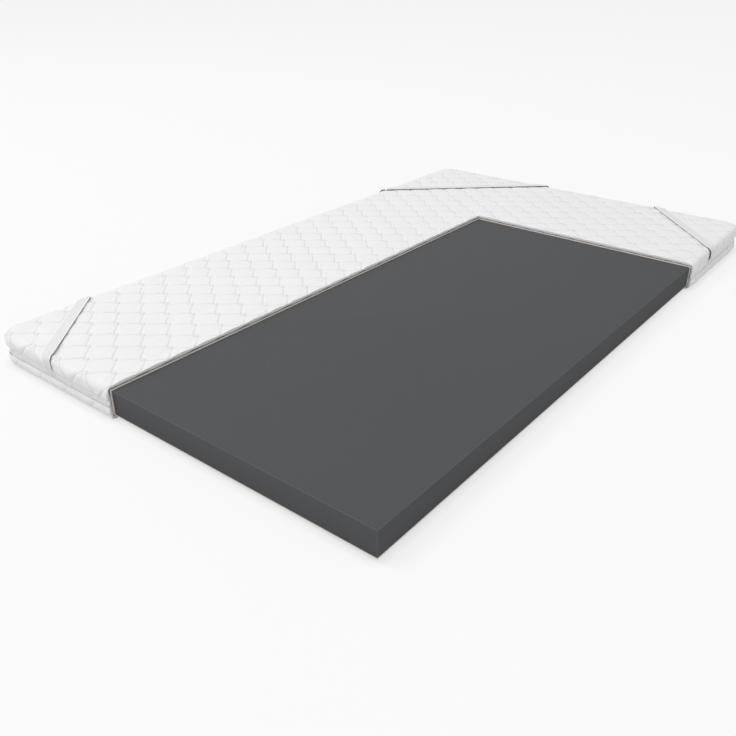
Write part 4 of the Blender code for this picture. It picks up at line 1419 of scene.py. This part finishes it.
def swept(name, path, profile, finish):
    """A closed profile of (out, up) points carried along a path, with its way along as UV."""
    points, faces, spots = [], [], []
    way = 0.0
    for index, (place, away) in enumerate(path):
        if index:
            way += (place - path[index - 1][0]).length
        for k, (out, up) in enumerate(profile):
            points.append((*(place + away * out), up))
            spots.append((way, up))
    wide = len(profile)
    for i in range(len(path) - 1):
        for k in range(wide):
            a, b = i * wide + k, i * wide + (k + 1) % wide
            faces.append([a, b, b + wide, a + wide])
    faces.append(list(reversed(range(wide))))
    faces.append([(len(path) - 1) * wide + k for k in range(wide)])
    mesh = bpy.data.meshes.new(name)
    mesh.from_pydata(points, [], faces)
    write_sheet_map(mesh, spots)
    mesh.materials.append(finish)
    face_outwards(mesh)
    smooth_shaded(mesh, 40)
    return add_piece(name, mesh)


def tape_finish():
    """Herringbone: diagonal ribs that turn back every few threads."""
    tape = Finish("white_zip_tape", (0.8, 0.8, 0.8), 0.75, Sheen_Weight=0.1, Specular_IOR_Level=0.3)
    along, up, _ = tape.on_sheet()
    zigzag = abs((up / HERRING).fraction() - 0.5) * HERRING
    ribs = waves(along + zigzag, THREAD)
    tone = ribs * 0.2 + tape.noise(60, 2) * 0.4 + 0.3
    colour = tape.mixed(tone, (0.82, 0.82, 0.825), (0.9, 0.9, 0.9))
    return tape.feed(Base_Color=colour, Normal=tape.bump(ribs, 0.12 * MM, 0.6))


white_zip_tape = tape_finish()
for half_name in ("upper", "lower"):
    low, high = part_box(f"zip_tape_{half_name}_left")
    outer = -FOAM_X - low.x
    inner, shoulder = outer - TAPE_THICK, outer - TAPE_ROUND
    profile = [
        (inner, low.z), (shoulder, low.z), (outer, low.z + TAPE_ROUND),
        (outer, high.z - TAPE_ROUND), (shoulder, high.z), (inner, high.z),
    ]
    for side, path in tape_paths.items():
        tape = swept(f"{half_name}_{side}_tape", path, profile, white_zip_tape)
        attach(tape, "topper")
        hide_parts(f"zip_tape_{half_name}_{side}")
    print(half_name, "tape from mm", round(low.z / MM, 1), "to", round(high.z / MM, 1))

# %% [markdown]
# ## Coil teeth
#
# The coil is one nylon wire that turns round and round, so from outside it is a row of equal
# rounded teeth. The teeth of the two halves lie in turn and fill each other's gaps. One tooth
# is modelled, and Geometry Nodes sets it along the path at an even pitch.

# %% One tooth
PITCH = 2.0 * MM
TOOTH_BACK = ((0.0, 0.45), (1.2, 0.55), (2.1, 0.3))
TOOTH_HEAD = ((2.5, 0.25), (2.35, 0.6), (1.5, 0.93), (0.0, 1.0))
TOOTH_SLICES = ((-0.42, 0.74), (-0.2, 1.0), (0.2, 1.0), (0.42, 0.74))
TOOTH_MIDDLE = 1.2 * MM


def tooth_object(name, side, near, far):
    """A rounded tooth: X along the zip, -Y outwards, Z up. Its head reaches past the middle.

    near and far are where the coil starts and ends, measured from the middle of the zip. The
    tables hold millimetres and, for the head and the slices, shares of the reach and the size.
    """
    reach = far - near
    profile = [(out * MM, near - side * back * MM) for out, back in TOOTH_BACK]
    profile += [(out * MM, near + reach * share) for out, share in TOOTH_HEAD]
    centre_up = near + reach / 2
    points, faces = [], []
    for along, share in TOOTH_SLICES:
        for out, up in profile:
            inset_out = TOOTH_MIDDLE + (out - TOOTH_MIDDLE) * share
            points.append((along * MM, -inset_out, centre_up + (up - centre_up) * share))
    wide = len(profile)
    for row in range(3):
        for k in range(wide):
            a, b = row * wide + k, row * wide + (k + 1) % wide
            faces.append([a, b, b + wide, a + wide])
    faces += [list(range(wide)), list(range(3 * wide, 4 * wide))]
    mesh = bpy.data.meshes.new(name)
    mesh.from_pydata(points, [], faces)
    face_outwards(mesh)
    return add_piece(name, mesh)


# %% Copies along a path
def along_path_tree(name):
    """Geometry Nodes: one shape set along a curve at an even pitch, turned as the curve runs."""
    tree = bpy.data.node_groups.new(name, "GeometryNodeTree")
    for title, kind in (
        ("Geometry", "Geometry"), ("Shape", "Object"), ("Pitch", "Float"), ("Material", "Material"),
    ):
        tree.interface.new_socket(title, in_out="INPUT", socket_type="NodeSocket" + kind)
    tree.interface.new_socket("Geometry", in_out="OUTPUT", socket_type="NodeSocketGeometry")
    nodes = tree.nodes
    entry, leave = nodes.new("NodeGroupInput"), nodes.new("NodeGroupOutput")
    to_curve = nodes.new("GeometryNodeMeshToCurve")
    to_points = nodes.new("GeometryNodeCurveToPoints")
    to_points.mode = "LENGTH"
    shape = nodes.new("GeometryNodeObjectInfo")
    turn = nodes.new("FunctionNodeAlignRotationToVector")
    turn.axis, turn.pivot_axis = "X", "AUTO"
    place = nodes.new("GeometryNodeInstanceOnPoints")
    realize = nodes.new("GeometryNodeRealizeInstances")
    dress = nodes.new("GeometryNodeSetMaterial")
    for source, given, target, taken in (
        (entry, "Geometry", to_curve, "Mesh"),
        (to_curve, "Curve", to_points, "Curve"),
        (entry, "Pitch", to_points, "Length"),
        (entry, "Shape", shape, "Object"),
        (to_points, "Tangent", turn, "Vector"),
        (to_points, "Points", place, "Points"),
        (shape, "Geometry", place, "Instance"),
        (turn, "Rotation", place, "Rotation"),
        (place, "Instances", realize, "Geometry"),
        (realize, "Geometry", dress, "Geometry"),
        (entry, "Material", dress, "Material"),
        (dress, "Geometry", leave, "Geometry"),
    ):
        tree.links.new(source.outputs[given], target.inputs[taken])
    return tree


set_along = along_path_tree("set along a path")


def copies_along(name, points, edges, shape, pitch, finish):
    """The tree applied to lines of edges, as one plain mesh."""
    line = bpy.data.meshes.new("line")
    line.from_pydata(points, edges, [])
    holder = add_piece("line", line)
    nodes = holder.modifiers.new("copies", "NODES")
    nodes.node_group = set_along
    given = {"Shape": shape, "Pitch": pitch, "Material": finish}
    for item in set_along.interface.items_tree:
        if item.in_out == "INPUT" and item.name in given:
            nodes[item.identifier] = given[item.name]
    mesh = applied(holder)
    mesh.name = name
    mesh.shade_smooth()
    return add_piece(name, mesh)


# %% Coils
def coil_finish():
    """Clear white nylon wire: a little gloss, and a faint change of tone along it."""
    nylon = Finish("white_coil", (0.84, 0.84, 0.84), 0.32, Specular_IOR_Level=0.5, Subsurface_Weight=0.1)
    cloud = nylon.noise(120, 2)
    return nylon.feed(
        Base_Color=nylon.mixed(cloud, (0.86, 0.86, 0.865), (0.92, 0.92, 0.92)),
        Roughness=cloud * 0.12 + 0.28)


COIL_OUT, COIL_UP = 8.6 * MM, 35.5 * MM
END_ROOM = 0.45 * MM
PIN_GAP = 0.3 * MM
white_coil = coil_finish()
slider_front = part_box("zip_coil_upper_left")[1].y
pin_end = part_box("zip_insertion_pin")[1].y + PIN_GAP
coil_paths = zip_paths(slider_front, pin_end)
for half_name, side_up in (("upper", 1), ("lower", -1)):
    low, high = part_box(f"zip_coil_{half_name}_left")
    near, far = (low.z, high.z) if side_up > 0 else (high.z, low.z)
    tooth = tooth_object(f"{half_name} tooth", side_up, near - COIL_UP, far - COIL_UP)
    head = END_ROOM + (0 if side_up > 0 else PITCH / 2)
    tail = END_ROOM + (PITCH / 2 if side_up > 0 else 0)
    for side, path in coil_paths.items():
        places = [place + away * COIL_OUT for place, away in path]
        places[0] = places[0] + (places[1] - places[0]).normalized() * head
        places[-1] = places[-1] + (places[-2] - places[-1]).normalized() * tail
        line = [(place.x, place.y, COIL_UP) for place in places]
        edges = [(i, i + 1) for i in range(len(line) - 1)]
        coil = copies_along(f"{half_name}_{side}_coil", line, edges, tooth, PITCH, white_coil)
        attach(coil, "topper")
        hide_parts(f"zip_coil_{half_name}_{side}")
        print(coil.name, "triangles:", sum(len(face.vertices) - 2 for face in coil.data.polygons))
    bpy.data.objects.remove(tooth)

# %% [markdown]
# ## Thread of the quilting
#
# The quilting machine runs a white thread along every seam. Each stitch is a short spindle that
# dips into the cloth at both ends. Rays shot at the puffed covers find where the seams ended
# up, and Geometry Nodes sets the stitches along them.

# %% Seams on the flat sheet
STITCH = 3.4 * MM
KNOT_ROOM = 60 * MM
PAST_LOOP = LEAN * 1.05


def seam_lines(tray, room):
    """Every loop and every slanted stretch between loops, as flat polylines.

    They stay the given room away from the hem and from the cut.
    """
    reach = tray.core + tray.reach
    count = int(reach.sum() / (2 * min(STEP_X, STEP_Y))) + 2
    found = []
    for i in range(-count, count + 1):
        for j in range(-count, count + 1):
            knot = flat_of(np.array([i]), np.array([j]))[0]
            if (np.abs(knot) > reach + KNOT_ROOM).any():
                continue
            steps = round(math.tau * LOOP / STITCH)
            turns = [k / steps * math.tau for k in range(steps + 1)]
            found.append([(knot[0] + LOOP * math.cos(t), knot[1] + LOOP * math.sin(t)) for t in turns])
            for to_u, to_v in ((1, 0), (0, 1)):
                share = np.linspace(PAST_LOOP, 1 - PAST_LOOP, round(SEAM / STITCH))
                u = i + share * to_u + (0 if to_u else LEAN * (1 - 2 * share))
                v = j + share * to_v + (0 if to_v else LEAN * (1 - 2 * share))
                found.append([tuple(p) for p in flat_of(u, v)])
    kept = []
    for line in found:
        flat = np.array(line)
        distance = tray.from_core(flat)[0]
        inside = (distance < tray.reach - room) & (in_cover(flat) > room)
        run = []
        for place, good in zip(line, inside):
            if good:
                run.append(place)
            elif run:
                kept.append(run)
                run = []
        kept.append(run)
    return [run for run in kept if len(run) > 1]


# %% Stitches
STITCH_HALF, STITCH_THICK = 1.5 * MM, 0.22 * MM
EDGE_ROOM = 1.5 * MM
RAY_START, RAY_LONG = 12 * MM, 16 * MM
THREAD_UP = 0.12 * MM
FLOOR_ROOM = 1 * MM
ON_SIDE_SHARE = 0.3


def stitch_object():
    """A spindle of eight triangles along X."""
    turns = [k * math.pi / 2 for k in range(4)]
    ring = [(0, STITCH_THICK * math.cos(t), STITCH_THICK * math.sin(t)) for t in turns]
    points = [(-STITCH_HALF, 0, 0)] + ring + [(STITCH_HALF, 0, 0)]
    faces = [(1 + k, 1 + (k + 1) % 4, tip) for tip in (0, 5) for k in range(4)]
    mesh = bpy.data.meshes.new("stitch")
    mesh.from_pydata(points, [], faces)
    face_outwards(mesh)
    return add_piece("stitch", mesh)


stitch = stitch_object()
for name, tray, skip_flat in (("top_cover", top_tray, False), ("base_cover", base_tray, True)):
    cover = covers[name]
    surface = BVHTree.FromPolygons(
        [tuple(v.co) for v in cover.data.vertices], [tuple(face.vertices) for face in cover.data.polygons])
    points, edges = [], []
    for run in seam_lines(tray, EDGE_ROOM):
        flat = np.array(run)
        side_start = tray.flat_reach + tray.arc * ON_SIDE_SHARE
        if skip_flat and tray.from_core(flat)[0].max() < side_start:
            continue
        base = tray.wrap(flat, np.zeros(len(flat)))
        outwards = tray.wrap(flat, np.ones(len(flat))) - base
        previous = None
        for place, away in zip(base, outwards):
            away = Vector(away).normalized()
            origin = Vector(place) + away * RAY_START
            hit = surface.ray_cast(origin, -away, RAY_LONG)[0]
            if hit is None or hit.z < FLOOR_ROOM:
                previous = None
                continue
            points.append(hit + away * THREAD_UP)
            if previous is not None:
                edges.append((previous, len(points) - 1))
            previous = len(points) - 1
    thread = copies_along(f"{name}_thread", points, edges, stitch, STITCH, white_thread)
    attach(thread, "topper")
    print(thread.name, "triangles:", len(thread.data.polygons))
bpy.data.objects.remove(stitch)

# %% [markdown]
# ## Zip hardware
#
# The slider, its pull, the stops and the pin are small nickel-plated castings and pressings,
# and the box is moulded plastic. Their solids are exact enough to keep. They get a plated
# finish whose brightness changes a little, as handling does, and a moulded one.

# %% Hardware finishes
def plated_finish():
    """Nickel plate, dulled in places and finely tumbled."""
    nickel = Finish("nickel", (0.62, 0.6, 0.57), 0.3, Metallic=1.0)
    wear = nickel.noise(500, 4)
    tumbled = nickel.noise(2600, 2)
    return nickel.feed(
        Base_Color=nickel.mixed(wear, (0.5, 0.485, 0.46), (0.7, 0.685, 0.66)),
        Roughness=wear * 0.25 + 0.2, Normal=nickel.bump(tumbled, 0.03 * MM, 0.4))


def moulded_finish():
    """White moulded plastic with a fine grain."""
    plastic = Finish("white_plastic", (0.82, 0.82, 0.82), 0.4, Specular_IOR_Level=0.5)
    grain = plastic.noise(1500, 3)
    cloud = plastic.noise(200, 2)
    return plastic.feed(
        Base_Color=plastic.mixed(cloud, (0.79, 0.79, 0.79), (0.85, 0.85, 0.85)),
        Roughness=grain * 0.2 + 0.32, Normal=plastic.bump(grain, 0.03 * MM, 0.3))


metal, plastic = plated_finish(), moulded_finish()
hardware = {
    "zip_slider": metal, "zip_pull": metal, "zip_top_stop_upper": metal, "zip_top_stop_lower": metal,
    "zip_insertion_pin": metal, "zip_retainer_box": plastic,
}
for node, finish in hardware.items():
    kept = bpy.data.objects[node]
    for place in kept.material_slots:
        place.material = finish
    print(node, "material slots:", len(kept.material_slots))

# %% Overall size of the scene
low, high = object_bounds()
